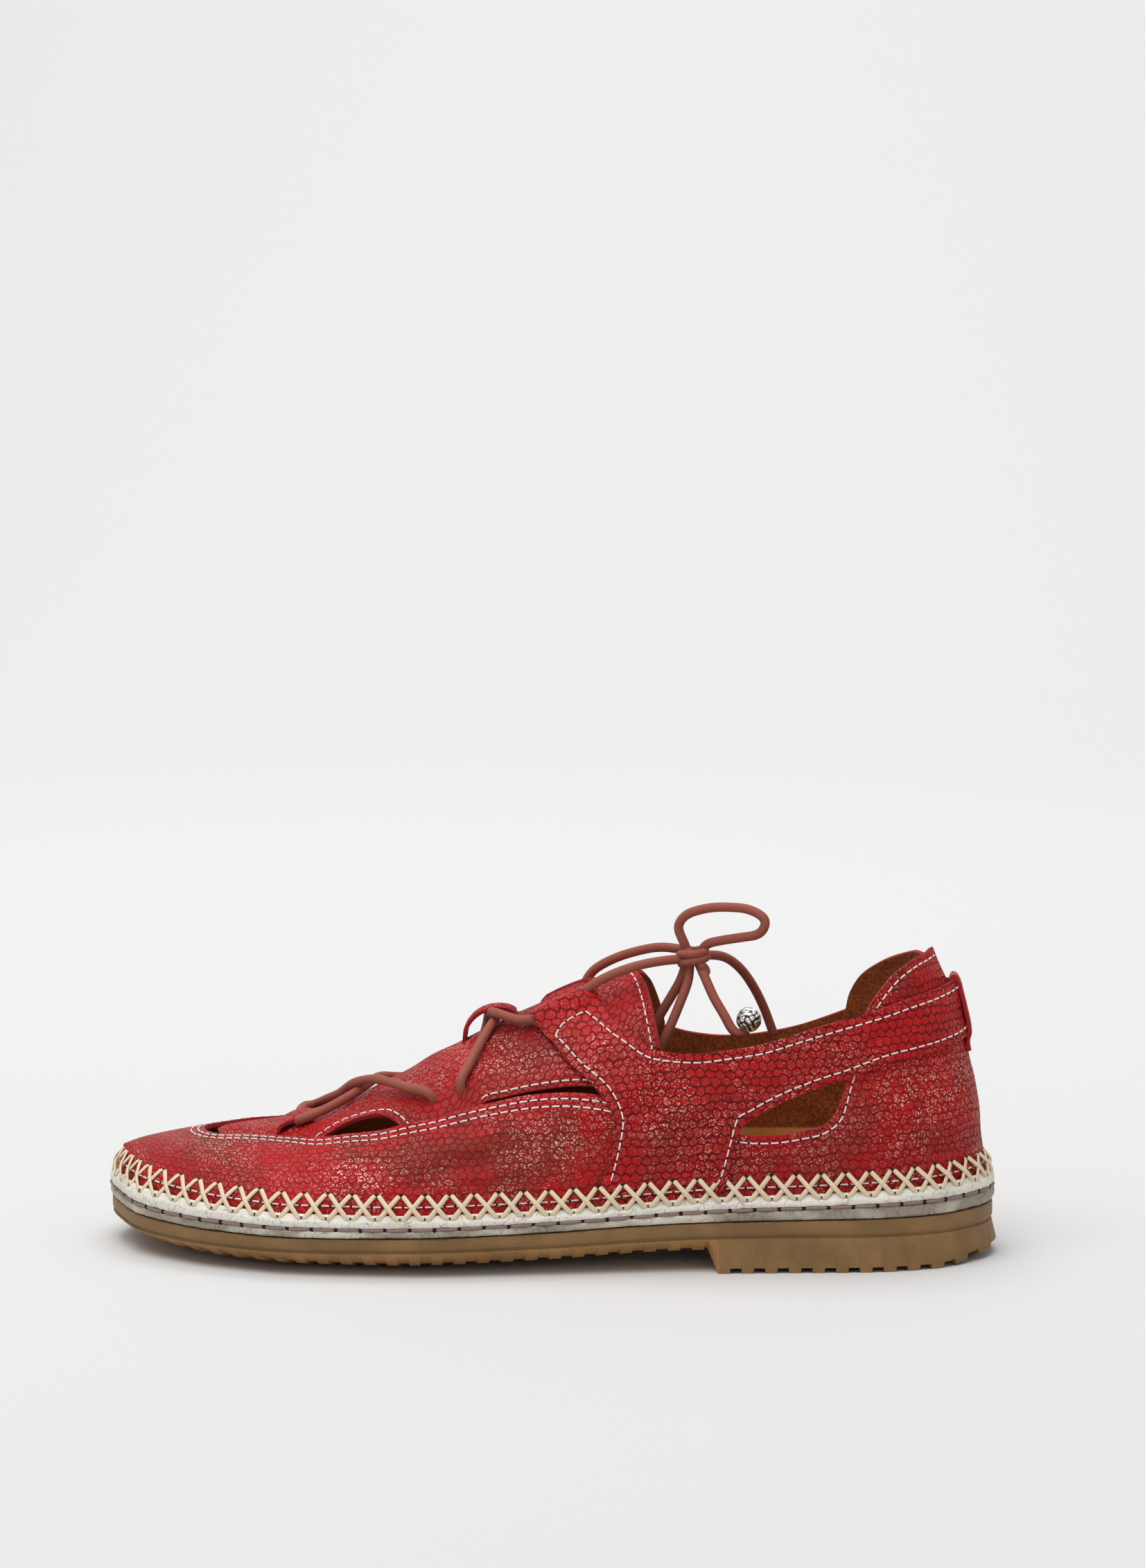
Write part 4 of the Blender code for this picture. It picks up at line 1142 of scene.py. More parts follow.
def braid(name, dark, light):
    """Round elastic: fibres that run along it, with a little sheen."""
    finish = Finish(name)
    fuzz = finish.hide.moved(scale=(2.0, 9.0, 1.0)).noise(1.0, 3.0, 0.7)
    finish.put(Base_Color=(0.485 + 0.5 * fuzz).mix(dark, light))
    finish.put(Roughness=0.66 + 0.12 * fuzz, Sheen_Weight=0.03)
    finish.relief(0.4 * fuzz, 0.16, 0.8)
    return finish.material


def old_silver(name):
    """Cast metal, bright where it was polished and dark in its recesses, read from its own map."""
    finish = Finish(name)
    high = finish.hide.part("Y")
    place = finish.solid_in_mm()
    tarnish = place.noise(1.2, 3.0, 0.6)
    tone = (high + 0.3 * (tarnish - 0.5)).between(0.15, 0.75)
    finish.put(Base_Color=tone.mix(paint(70, 68, 66), paint(238, 238, 236)))
    finish.put(Metallic=0.95, Roughness=0.6 - 0.34 * tone)
    return finish.material


GUM_SIDE = gum_rubber("gum_rubber_side", paint(113, 85, 49), paint(143, 109, 66))
# A lighter copy of the gum for the forefoot's bevel and bottom: painted light, the light the bevel catches
# from the floor.
GUM_BEVEL_PAINTED_LIGHT = gum_rubber("gum_rubber_bevel_painted_light", paint(148, 109, 65), paint(186, 140, 87))
FOIL_LIGHT = foil_leather("foil_leather_upper", light=paint(230, 226, 215), grey=paint(194, 189, 176),
                          bare=(0.5, 0.75), seed=0.0)
FOIL_GREY = foil_leather("foil_leather_lower", light=paint(214, 207, 190), grey=paint(156, 147, 131),
                         bare=(0.4, 0.56), seed=57.0)
WAXED_CORD = yarn("cream_waxed_cord", paint(174, 150, 115), paint(228, 212, 180), 0.55)
THREAD_PALE = yarn("white_sewing_thread", paint(196, 180, 174), paint(240, 230, 226), 0.6)
# Pinkish-grey thread, painted darker with the painted shade of the crease it lies in.
THREAD_SEAM_PAINTED_SHADE = yarn("pink_grey_seam_thread_painted_shade", paint(86, 66, 60), paint(146, 120, 111), 0.65)
ELASTIC = braid("brown_elastic_braid", paint(66, 26, 18), paint(161, 82, 63))
SILVER = old_silver("old_silver")
# Needle holes: dark discs of painted shade, standing in for the shade inside a hole.
HOLE_PAINTED_SHADE = napped("needle_hole_painted_shade", paint(22, 8, 8), paint(46, 18, 16), 2.0, 0.1, 0.9)
print("other finishes ready")

# %% [markdown]
# ## Tubes and holes
# Threads, cord and lace are tubes along a line of points. A frame is carried along the line so that
# the tube doesn't twist, and the map runs along it in millimetres. Needle holes are small discs on the
# leather, painted dark as painted shade for the inside of a hole. Hundreds of each are joined into one
# mesh, straight from arrays.

# %% Tubes and holes
def carried_frames(line):
    """Tangents and two side directions along a line, turning as little as possible."""
    tangents = unit(np.gradient(line, axis=0))
    side = np.array((0.0, 0.0, 1.0))
    sides = []
    for tangent in tangents:
        side = side - tangent * np.dot(side, tangent)
        if np.linalg.norm(side) < 1e-6:
            side = np.cross(tangent, (0.3, 0.5, 0.8))
        side = side / np.linalg.norm(side)
        sides.append(side)
    sides = np.array(sides)
    return tangents, sides, np.cross(tangents, sides)


def tube_rings(line, half_high, half_wide, count, up=None):
    """Rings of points round a line; up, where given, is the direction of each ring's height."""
    tangents, high, wide = carried_frames(line)
    if up is not None:
        high = unit(up - tangents * np.sum(up * tangents, axis=1, keepdims=True))
        wide = np.cross(tangents, high)
    turn = np.linspace(0.0, 2.0 * math.pi, count, endpoint=False)
    lift = np.cos(turn)[None, :, None] * high[:, None] * np.reshape(half_high, (-1, 1, 1))
    spread = np.sin(turn)[None, :, None] * wide[:, None] * np.reshape(half_wide, (-1, 1, 1))
    return line[:, None] + lift + spread


def add_rings(name, tubes, finish):
    """One piece of many closed tubes, each given as rings of points in millimetres."""
    verts, faces, maps = [], [], []
    for rings in tubes:
        first = len(verts)
        rows, count = rings.shape[:2]
        travel = lengths_along(rings.mean(axis=1))
        verts.extend(map(tuple, to_world(rings.reshape(-1, 3))))
        for i in range(rows - 1):
            for j in range(count):
                k = (j + 1) % count
                corners = [i * count + j, i * count + k, (i + 1) * count + k, (i + 1) * count + j]
                faces.append([first + corner for corner in corners])
                low, high = j / count, (j + 1) / count
                here, there = travel[i], travel[i + 1]
                maps.extend([(here, low), (here, high), (there, high), (there, low)])
        for row, order in ((0, range(count - 1, -1, -1)), (rows - 1, range(count))):
            faces.append([first + row * count + j for j in order])
            maps.extend([(travel[row], 0.5)] * count)
    mesh = bpy.data.meshes.new(name)
    mesh.from_pydata(verts, [], faces)
    mesh.uv_layers.new(name="hide").data.foreach_set("uv", np.array(maps).ravel())
    form = bmesh.new()
    form.from_mesh(mesh)
    bpy.data.meshes.remove(mesh)
    bmesh.ops.recalc_face_normals(form, faces=form.faces)
    return add_piece(name, form, (finish,))


def add_discs(name, spots, normals, radius, finish, sides=8):
    """One piece of many small discs, each a shallow button a little above the leather."""
    levels = np.array([[-0.1], [0.02], [0.05]])
    radii = np.array([1.0, 1.0, 0.6]) * radius
    lines = [spot + normal * levels for spot, normal in zip(spots, normals)]
    return add_rings(name, [tube_rings(line, radii, radii, sides) for line in lines], finish)


print("tubes and holes ready")

# %% [markdown]
# ## Gum rubber sole
# The sole is one moulding: a side with a groove, a bevel that runs under the foot, an arch, and a low
# heel with a breast. Its grid goes round the outline; every row is an inset and a level from the
# last's tables. Extra columns stand at the edges of the tread bars, so that the bars are real.

# %% Sole's shape
BREAST_START, BREAST_END = 179.0, 181.5
BAR_PITCH, BAR_NOTCH = 6.8, 3.3
NOTCH_HEEL, NOTCH_FORE = 1.5, 0.6
HEEL_SPRING = 2.6
BEVEL_INSET, HEEL_BEVEL_INSET = 7.0, -1.0
TREAD_INSET, HEEL_TREAD_INSET = 16.0, 5.0
STEP = 0.2
SPRING_START = 244.0
SHARP_DEGREES = 38.0
# Each row of the side: inset from the outline, the level it goes by, millimetres above that
SIDE_ROWS = (
    (5.0, "silver", 0.0),
    (0.5, "silver", 0.0),
    (0.2, "silver", -0.35),
    (0.15, "middle", 0.0),
    (0.2, "groove", 0.75),
    (0.35, "groove", 0.5),
    (0.85, "groove", 0.28),
    (0.85, "groove", -0.22),
    (0.45, "groove", -0.45),
    (0.35, "groove", -0.7),
)
TREAD_FIRST_ROW = len(SIDE_ROWS) - 1


def notch_at(along):
    """1 in a notch between tread bars, 0 on a bar."""
    place = (along - BREAST_END) % BAR_PITCH
    bar = BAR_PITCH - BAR_NOTCH
    return soft_step(bar - STEP, bar, place) * soft_step(0.0, STEP, BAR_PITCH - place)


def sole_stations():
    """Section angles for the sole's columns: an even spread, the bar edges and the heel breast."""
    along = list(BAND_LENGTH * (1.0 - np.cos(np.linspace(0.0, math.pi, 190))) / 2.0)
    first = BREAST_END % BAR_PITCH
    for bar in np.arange(first, BAND_LENGTH - 3.0, BAR_PITCH):
        notch = bar + BAR_PITCH - BAR_NOTCH
        along.extend((bar, bar + STEP / 2.0, notch - STEP, notch, bar + BAR_PITCH - STEP))
    along = [a for a in along if not BREAST_START - 0.1 < a < BREAST_END + 0.1 and 0.0 <= a <= BAND_LENGTH]
    along.extend((BREAST_START, BREAST_END))
    angles = np.unique(np.round(angle_of(np.array(sorted(along))), 5))
    return np.clip(angles, 0.0, math.pi)


def sole_sheet():
    """Points of the sole: columns round the outline, rows from the top down the side to the middle."""
    half = sole_stations()
    angles = np.concatenate([half, half[::-1][1:]])
    side = np.where(np.arange(len(angles)) < len(half), LATERAL, MEDIAL)
    edge, out, along = outline(angles, side), outward(angles, side), along_of(angles)
    level = {name: sole_table.at(name, along) for name in SOLE_COLUMNS[1:]}
    level["middle"] = (level["silver"] + level["groove"]) / 2.0
    heel = along >= BREAST_END - 0.01
    notch = notch_at(along)
    spring = HEEL_SPRING * soft_step(SPRING_START, BAND_LENGTH, along)
    bottom = np.where(heel, NOTCH_HEEL * notch, level["tread"] + NOTCH_FORE * notch)
    bevel = np.where(heel, NOTCH_HEEL * notch + spring, level["edge"] + NOTCH_FORE * notch)
    bevel_inset = np.where(heel, HEEL_BEVEL_INSET, BEVEL_INSET)
    tread_inset = np.where(heel, HEEL_TREAD_INSET, TREAD_INSET)
    rows = [(np.full(len(along), inset), level[name] + above) for inset, name, above in SIDE_ROWS]
    foot_inset, foot_level = rows[-1]
    for share in (0.25, 0.5, 0.75, 0.93, 1.0):
        inset = foot_inset + (bevel_inset - foot_inset) * share
        rows.append((inset, foot_level + (bevel - foot_level) * share))
    rows.append((bevel_inset + 0.8, bevel - np.where(heel, 0.0, 0.15)))
    rows.append((tread_inset, bottom))
    sheet = [np.stack([*(edge - out * inset[:, None]).T, z], -1) for inset, z in rows]
    last = sheet[-1]
    edges = [outline(angles, np.full(len(angles), way))[:, 1] for way in (LATERAL, MEDIAL)]
    middle = (edges[0] + edges[1]) / 2.0
    for share in (0.5, 1.0):
        row = last.copy()
        row[:, 1] = last[:, 1] + (middle - last[:, 1]) * share
        sheet.append(row)
    return np.stack(sheet, 1)


print("rows down the sole's side:", len(SIDE_ROWS))

# %% Sole
sole_points = sole_sheet()
form, place = grid_form(sole_points)
# The forefoot's bevel and bottom take the lighter gum, painted light from the floor.
for face in form.faces:
    spots = [place[vert] for vert in face.verts]
    if all(row >= TREAD_FIRST_ROW and sole_points[column, 0, 0] < BREAST_END for column, row in spots):
        face.material_index = 1
bmesh.ops.remove_doubles(form, verts=form.verts, dist=2e-5)
bmesh.ops.holes_fill(form, edges=form.edges)
bmesh.ops.recalc_face_normals(form, faces=form.faces)
sole = add_piece("gum_sole", form, (GUM_SIDE, GUM_BEVEL_PAINTED_LIGHT))
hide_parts("outsole")
sole.data.set_sharp_from_angle(angle=math.radians(SHARP_DEGREES))
print("sole faces:", len(sole.data.polygons))

# %% [markdown]
# ## Wrapped band
# Two strips of foil leather wrap the edge over the sole: a greyer one below, a lighter one above, to
# which the upper is sewn. Each is a closed strip swept round the outline. The cord is drawn tight by
# hand and puckers its outer face, so the points are pushed in and out by a noise. Faces that look into
# the shoe are lined with the sock's tan leather.

# %% Strip's shape
STRIP_DEPTH = 4.2
INWARD_LIMIT = -0.12
STRIP_COLUMNS = 520
LIP_HEIGHT = 1.2
STRIP_GAP = 0.3
SOFT_DEPTH = 1.1
COARSE_REACH, COARSE_DEPTH = 36.0, 0.3
FINE_REACH, FINE_DEPTH = 95.0, 0.2
WAVE_SHARE = 0.25
# Each place of the section: share of the height, inset, share of the lip
STRIP_PROFILE = (
    (0.0, STRIP_DEPTH, 0.0), (0.0, 0.75, 0.0), (0.08, 0.2, 0.0), (0.22, 0.0, 0.0), (0.4, 0.0, 0.0),
    (0.58, 0.0, 0.0), (0.76, 0.0, 0.0), (0.9, 0.12, 0.0), (1.0, 0.3, 0.0), (1.0, 0.55, 0.5),
    (1.0, 0.9, 0.9), (1.0, 1.3, 1.0), (1.0, 1.75, 0.7), (1.0, STRIP_DEPTH, 0.0), (0.0, STRIP_DEPTH, 0.0),
)


def crinkle(turn, share, seed):
    """How far the foil stands out, at a turn round the shoe and a share of the strip's height."""
    cos, sin = math.cos(turn), math.sin(turn)
    coarse = Vector((COARSE_REACH * cos, COARSE_REACH * sin, 2.2 * share + seed))
    fine = Vector((FINE_REACH * cos, FINE_REACH * sin, 1.2 * share - seed))
    return COARSE_DEPTH * noise.noise(coarse) + FINE_DEPTH * noise.noise(fine)


def strip_sheet(low_name, high_name, bulge, lip, seed):
    """Points of a strip between two of the sole's levels, round the outline and round its section."""
    half = np.linspace(0.0, math.pi, STRIP_COLUMNS // 2 + 1)
    angles = np.concatenate([half, half[::-1][1:]])
    side = np.where(np.arange(len(angles)) <= STRIP_COLUMNS // 2, LATERAL, MEDIAL)
    edge, out, along = outline(angles, side), outward(angles, side), along_of(angles)
    low = sole_table.at(low_name, along) + STRIP_GAP
    high = sole_table.at(high_name, along)
    travel = lengths_along(edge)
    travel = travel / travel[-1] * 2.0 * math.pi
    sheet = []
    for share, inset, above in STRIP_PROFILE:
        level = low + (high - low) * share + lip * above
        soft = 1.0 if inset < SOFT_DEPTH else 0.0
        pucker = np.array([crinkle(turn, share, seed) for turn in travel])
        shift = -inset + bulge * math.sin(math.pi * share) + soft * pucker
        wave = soft * WAVE_SHARE * pucker[::-1]
        sheet.append(np.stack([*(edge + out * shift[:, None]).T, level + wave], -1))
    return np.stack(sheet, 1)


print("places round a strip's section:", len(STRIP_PROFILE))

# %% Strips of the band
for name, low_name, high_name, bulge, lip, seed, finish, slot, node in (
    ("band_lower_strip", "silver", "seam", 0.25, 0.0, 3.1, FOIL_GREY, "foil_leather_grey", "midsole"),
    ("band_upper_strip", "seam", "top", 0.35, LIP_HEIGHT, 11.7, FOIL_LIGHT, "foil_leather_light", "rand"),
):
    form, place = grid_form(strip_sheet(low_name, high_name, bulge, lip, seed))
    bmesh.ops.remove_doubles(form, verts=form.verts, dist=2e-5)
    bmesh.ops.recalc_face_normals(form, faces=form.faces)
    for face in form.faces:
        outwards = face.calc_center_median().xy.normalized()
        face.material_index = 1 if face.normal.xy.dot(outwards) < INWARD_LIMIT else 0
    strip = add_piece(name, form, (finish, SOCK))
    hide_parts(node)
    print(name, "faces:", len(strip.data.polygons))

insole = bpy.data.objects["insole"]
insole.material_slots[0].material = SOCK

# %% [markdown]
# ## Cross stitch round the band
# A waxed cream cord, flat and about one and a half millimetres wide, sews the upper to the band. It
# goes from each hole in the band to the next hole in the upper and back, so that the strands cross in
# the middle. Needle holes are spaced evenly along the outline; one strand of each cross lies on top.

# %% Places round the band
CROSS_PITCH = 7.15
QUARTER_FEET = (147.2, 181.0)


def round_the_band(count=None):
    """Section angles and sides of evenly spaced places round the outline, by default one for each cross."""
    turn = np.linspace(0.0, 2.0 * math.pi, 4001)
    angle = np.where(turn <= math.pi, turn, 2.0 * math.pi - turn)
    side = np.where(turn <= math.pi, LATERAL, MEDIAL)
    travel = lengths_along(outline(angle, side))
    count = count or int(round(travel[-1] / CROSS_PITCH))
    spots = np.interp((np.arange(count) + 0.5) / count * travel[-1], travel, turn)
    outer = spots <= math.pi
    return np.where(outer, spots, 2.0 * math.pi - spots), np.where(outer, LATERAL, MEDIAL)


def beside_the_band(angle, side, level):
    """Places on the outline at a level, and the level directions out of the shoe there."""
    places = np.concatenate([outline(angle, side), level[:, None]], 1)
    return places, np.concatenate([outward(angle, side), np.zeros((len(angle), 1))], 1)


def upper_at(angle, side, above):
    """Places and normals on the upper at a height above the band's top."""
    top = sole_table.at("top", along_of(angle))
    climb = (above - UPPER_LIFT) / (crown_table.at_key("height", angle) - top - UPPER_LIFT)
    rise = np.arcsin(climb) * 2.0 / math.pi
    points, normals = wall(angle, side, rise), wall_normals(angle, side, rise)
    along = along_of(angle)
    behind, ahead = along - QUARTER_FEET[0], QUARTER_FEET[1] - along
    on_quarter = soft_step(-0.5, 0.5, behind) * soft_step(-0.5, 0.5, ahead)
    over = stand_of_quarter(above) * on_quarter
    return points + normals * (over + soft_relief(points, side))[:, None], normals


print("crosses round the band:", len(round_the_band()[0]))

# %% Cross stitch
HOLE_BELOW_TOP, HOLE_ABOVE_TOP = 0.15, 6.3
HOLE_SPREAD, HOLE_SINK = 0.62, 0.15
CROSS_HOLE = 0.85
CORD_HIGH, CORD_WIDE, CORD_SIDES = 0.32, 0.7, 8
CORD_SHARES = np.array([0.0, 0.0, 0.08, 0.25, 0.42, 0.5, 0.58, 0.75, 0.92, 1.0, 1.0])[:, None]
CORD_LIFT, CORD_ARCH, CORD_OVER, CORD_DIVE = 0.22, 0.3, 0.62, -0.9

angle, side = round_the_band()
low_levels = sole_table.at("top", along_of(angle)) - HOLE_BELOW_TOP
low_holes, out = beside_the_band(angle, side, low_levels)
low_holes = low_holes - out * HOLE_SINK
high_holes, high_out = upper_at(angle, side, HOLE_ABOVE_TOP)
strands = []
for k in range(len(angle)):
    n = (k + 1) % len(angle)
    spread = unit(low_holes[n] - low_holes[k]) * HOLE_SPREAD
    for start, start_out, end, end_out, over in (
        (low_holes[k] + spread, out[k], high_holes[n] - spread, high_out[n], 0.0),
        (low_holes[n] - spread, out[n], high_holes[k] + spread, high_out[k], CORD_OVER),
    ):
        normals = unit(start_out * (1.0 - CORD_SHARES) + end_out * CORD_SHARES)
        arch = np.sin(math.pi * CORD_SHARES)
        lift = CORD_LIFT + CORD_ARCH * arch + over * arch**3
        lift[[0, -1]] = CORD_DIVE
        lift[[1, -2]] = 0.0
        line = start * (1.0 - CORD_SHARES) + end * CORD_SHARES + normals * lift
        strands.append(tube_rings(line, CORD_HIGH, CORD_WIDE, CORD_SIDES, normals))
add_rings("cross_stitch", strands, WAXED_CORD)
holes = np.concatenate([low_holes, high_holes])
hole_normals = np.concatenate([out, high_out])
# The holes are discs of painted shade.
add_discs("cross_stitch_holes", holes, hole_normals, CROSS_HOLE, HOLE_PAINTED_SHADE)
print("cross stitches:", len(angle))

# %% [markdown]
# ## Running stitches
# White thread runs two to three millimetres inside every edge of the leather, in dashes of about
# 2.4 mm. Each row is one continuous tube that rises over the leather for a dash and dives through a
# needle hole. Rows follow the marks of the panels, moved in from the edge.

# %% Sewing along a line
DASH_PITCH, DASH_SHARE = 3.0, 0.8
THREAD_RADIUS, THREAD_SIDES, THREAD_STEP = 0.21, 6, 0.3
THREAD_DIVE = 0.35


def row_on(curve, side, lift):
    """A line of section angles and rises, laid on a panel with a given lift."""
    sides = np.full(len(curve), side)
    points = wall(curve[:, 0], sides, curve[:, 1])
    normals = wall_normals(curve[:, 0], sides, curve[:, 1])
    if callable(lift):
        lift = lift(curve[:, 0], sides, curve[:, 1])
    return points + normals * (lift + soft_relief(points, sides))[:, None], normals


def plan_row(marks, shift, first, last):
    """A panel's edge seen from above, moved outwards by a shift, between two stations."""
    plan = flow([mark[1:] for mark in marks], np.linspace(0.0, 1.0, 500))
    tangent = unit(np.gradient(plan, axis=0))
    slope = wall_normals(*from_top(plan[:, 0], plan[:, 1]))[:, 2:]
    plan = plan + np.stack([tangent[:, 1], -tangent[:, 0]], -1) * shift * np.clip(slope, 0.3, 1.0)
    plan = plan[(plan[:, 0] > first) & (plan[:, 0] < last)]
    angle, _, rise = from_top(plan[:, 0], plan[:, 1])
    return np.stack([angle, rise], -1)


def inset_row(points, normals, inset):
    """A line inside the first edge of a panel's grid, inset millimetres from it."""
    lengths = np.concatenate([np.zeros((len(points), 1)),
                              np.cumsum(np.linalg.norm(np.diff(points, axis=1), axis=-1), axis=1)], 1)
    edge = unit(np.gradient(points[:, 0], axis=0))
    inwards = unit(points[:, 3] - points[:, 0])
    skew = np.clip(np.linalg.norm(np.cross(edge, inwards), axis=-1), 0.45, 1.0)
    places = np.arange(points.shape[1])
    row = np.array([np.interp(inset / slant, length, places) for slant, length in zip(skew, lengths)])
    low = np.minimum(row.astype(int), points.shape[1] - 2)
    share = (row - low)[:, None]
    column = np.arange(len(points))
    line = points[column, low] * (1.0 - share) + points[column, low + 1] * share
    return line, unit(normals[column, low] * (1.0 - share) + normals[column, low + 1] * share)


def eased(line, passes):
    """A line with its small kinks averaged out; its ends stay."""
    line = np.array(line, dtype=float)
    for _ in range(passes):
        line[1:-1] = (line[:-2] + 2.0 * line[1:-1] + line[2:]) / 4.0
    return line


def sewn(points, normals, pitch=DASH_PITCH, share=DASH_SHARE, radius=THREAD_RADIUS):
    """Rings of a sewn thread along a row, and the places of its needle holes."""
    total = lengths_along(points)
    count = max(6, int(total[-1] / THREAD_STEP))
    travel = np.linspace(0.0, total[-1], count)
    line, up = read_along(points, total, travel), unit(read_along(normals, total, travel))
    phase = (travel / pitch) % 1.0
    rise = np.where(phase < share, np.sin(math.pi * np.clip(phase / share, 0.0, 1.0)) ** 0.4, 0.0)
    line = line + up * (-THREAD_DIVE + (THREAD_DIVE + 0.6 * radius) * rise)[:, None]
    spots = (np.arange(int(total[-1] / pitch)) + (1.0 + share) / 2.0) * pitch
    holes, hole_up = read_along(points, total, spots), unit(read_along(normals, total, spots))
    return tube_rings(line, radius, radius * 1.15, THREAD_SIDES, up), holes, hole_up


print("a dash and its gap:", DASH_PITCH, "mm")

# %% Rows of stitching
TUNNEL_STITCH = (
    ("side", 150.6, 27.0),
    ("side", 152.9, 36.4),
    ("side", 153.8, 44.4),
    ("side", 150.5, 51.6),
    ("side", 141.9, 58.6),
    ("side", 134.2, 65.0),
)
TUNNEL_FOLD_STITCH = (
    ("side", 134.2, 65.0),
    ("top", 135.8, -16.2),
    ("top", 138.6, -14.9),
    ("top", 142.6, -14.0),
)
# Each row along a marked edge: shift out from the edge, first and last station
TOE_BAND_ROWS = ((1.9, 20.0, 151.0), (4.0, 20.0, 151.0))
APRON_ROWS = ((-2.2, 57.5, 93.0), (-1.7, 112.5, 150.0))
COLLAR_INSET, STRAP_INSET, COUNTER_INSET, TONGUE_INSET = 2.6, 2.4, 2.2, 2.0
STRAP_START = 66
COUNTER_SCOOP = slice(16, 76)
COUNTER_TOP = slice(COUNTER_COLUMNS - 52, COUNTER_COLUMNS + 52)
BAND_ROW_ABOVE, BAND_ROW_PLACES = 3.3, 900
EASING = 6
STITCH_HOLE = 0.4

rows = []
for side in (LATERAL, MEDIAL):
    for shift, first, last in TOE_BAND_ROWS:
        rows.append(row_on(plan_row(TOE_BAND_MARKS, shift, first, last), side, 0.0))
    for shift, first, last in APRON_ROWS:
        rows.append(row_on(plan_row(APRON_MARKS, shift, first, last), side, apron_lift))
    rows.append(row_on(edge_curve(TUNNEL_STITCH, LATERAL, 200), side, quarter_lift))
    rows.append(row_on(edge_curve(TUNNEL_FOLD_STITCH, LATERAL, 60), side, quarter_lift))
    quarter, corner, corner_up = quarters[side], rows[-1][0][-1:], rows[-1][1][-1:]
    collar, collar_up = inset_row(quarter.points[:, ::-1], quarter.normals[:, ::-1], COLLAR_INSET)
    first = np.argmin(np.linalg.norm(collar - corner, axis=-1)) + 3
    rows.append([np.concatenate([corner, collar[first:]]), np.concatenate([corner_up, collar_up[first:]])])
    rows.append(inset_row(quarter.points[STRAP_START:], quarter.normals[STRAP_START:], STRAP_INSET))
for stretch in (COUNTER_SCOOP, COUNTER_TOP):
    rows.append(inset_row(counter.points[stretch, ::-1], counter.normals[stretch, ::-1], COUNTER_INSET))
tongue_rear = [np.swapaxes(sheet[::-1], 0, 1) for sheet in (apron.points, apron.normals)]
rows.append(inset_row(*tongue_rear, TONGUE_INSET))
angle, side = round_the_band(BAND_ROW_PLACES)
rows.append(upper_at(angle, side, BAND_ROW_ABOVE))

threads, holes, hole_normals = [], [], []
for points, normals in rows:
    rings, spots, up = sewn(eased(points, EASING), eased(normals, EASING))
    threads.append(rings)
    holes.append(spots)
    hole_normals.append(up)
stitching = add_rings("running_stitches", threads, THREAD_PALE)
# The holes are discs of painted shade.
add_discs("running_stitch_holes", np.concatenate(holes), np.concatenate(hole_normals), STITCH_HOLE, HOLE_PAINTED_SHADE,
          6)
print("rows of stitching:", len(rows), "faces:", len(stitching.data.polygons))

# %% [markdown]
# ## Seam between the band's strips
# A thicker pinkish thread holds the two foil strips together in long stitches, sunk in the crease
# between them, with a dark awl hole every seven millimetres. The thread's colour is darkened with the
# crease's painted shade, and each awl hole is a disc of painted shade.

# %% Band seam
SEAM_PITCH, SEAM_SHARE, SEAM_THREAD = 7.1, 0.86, 0.42
SEAM_RISE, SEAM_SINK = 0.15, 0.05
AWL_HOLE, AWL_HOLE_LIFT = 0.8, 0.1

angle, side = round_the_band(BAND_ROW_PLACES)
seam, out = beside_the_band(angle, side, sole_table.at("seam", along_of(angle)) + SEAM_RISE)
rings, spots, up = sewn(seam - out * SEAM_SINK, out, SEAM_PITCH, SEAM_SHARE, SEAM_THREAD)
# The thread's colour carries painted shade from the crease.
add_rings("band_seam", [rings], THREAD_SEAM_PAINTED_SHADE)
# The awl holes are discs of painted shade.
add_discs("band_seam_holes", spots + up * AWL_HOLE_LIFT, up, AWL_HOLE, HOLE_PAINTED_SHADE)
print("band seam stitches:", len(spots))

# %% [markdown]
# ## Keepers and heel loop
# Two narrow leather straps arch over the apron's middle line, and the lace passes under them. At the
# back a strap runs down over the heel strap, and its raw end hangs below. All are strips of the same
# leather: a grid along the strip's path, as wide as the strip, with the hide's thickness.

# %% Keepers
STRIP_WAYS = np.linspace(-0.5, 0.5, 9)
STRIP_THICKNESS = 1.15
KEEPER_STAND, KEEPER_SINK, KEEPER_SAG = 0.5, 1.2, 0.35


def strip_piece(name, points, finish, node):
    """Leather strip over a grid of places along and across it."""
    normals = unit(np.cross(np.gradient(points, axis=0), np.gradient(points, axis=1)))
    form, place = grid_form(points)
    face_outwards(form, normals, place)
    piece = add_piece(name, form, (finish, SUEDE, CUT_EDGE))
    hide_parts(node)
    return hide_thickness(piece, STRIP_THICKNESS)


def keeper(name, start, end, across, width, crest, lead):
    """Strap from start to end over the apron; a lead under 1 brings its crest forward."""
    share = np.linspace(-0.06, 1.06, 41)[:, None]
    along, across = np.broadcast_arrays(start + (end - start) * share, across + width * STRIP_WAYS)
    floor = wall(*from_top(along.ravel(), across.ravel()))[:, 2].reshape(along.shape)
    arch = np.sin(math.pi * np.clip(share, 0.0, 1.0) ** lead) ** 0.6
    sunk = np.where((share < 0.0) | (share > 1.0), KEEPER_SINK, 0.0)
    level = floor + KEEPER_STAND + crest * arch - sunk - KEEPER_SAG * (2.0 * STRIP_WAYS) ** 2
    return strip_piece(name + "_strap", np.stack([along, across, level], -1), LEATHER_APRON, name)


keeper("keeper_front", start=51.0, end=62.0, across=-3.0, width=10.5, crest=2.3, lead=0.9)
keeper("keeper_mid", start=105.2, end=121.4, across=2.5, width=7.0, crest=6.3, lead=0.66)
print("keepers on the apron")

# %% Heel loop
LOOP_WIDTH, LOOP_SAG, LOOP_SPACING = 7.0, 0.25, 0.7
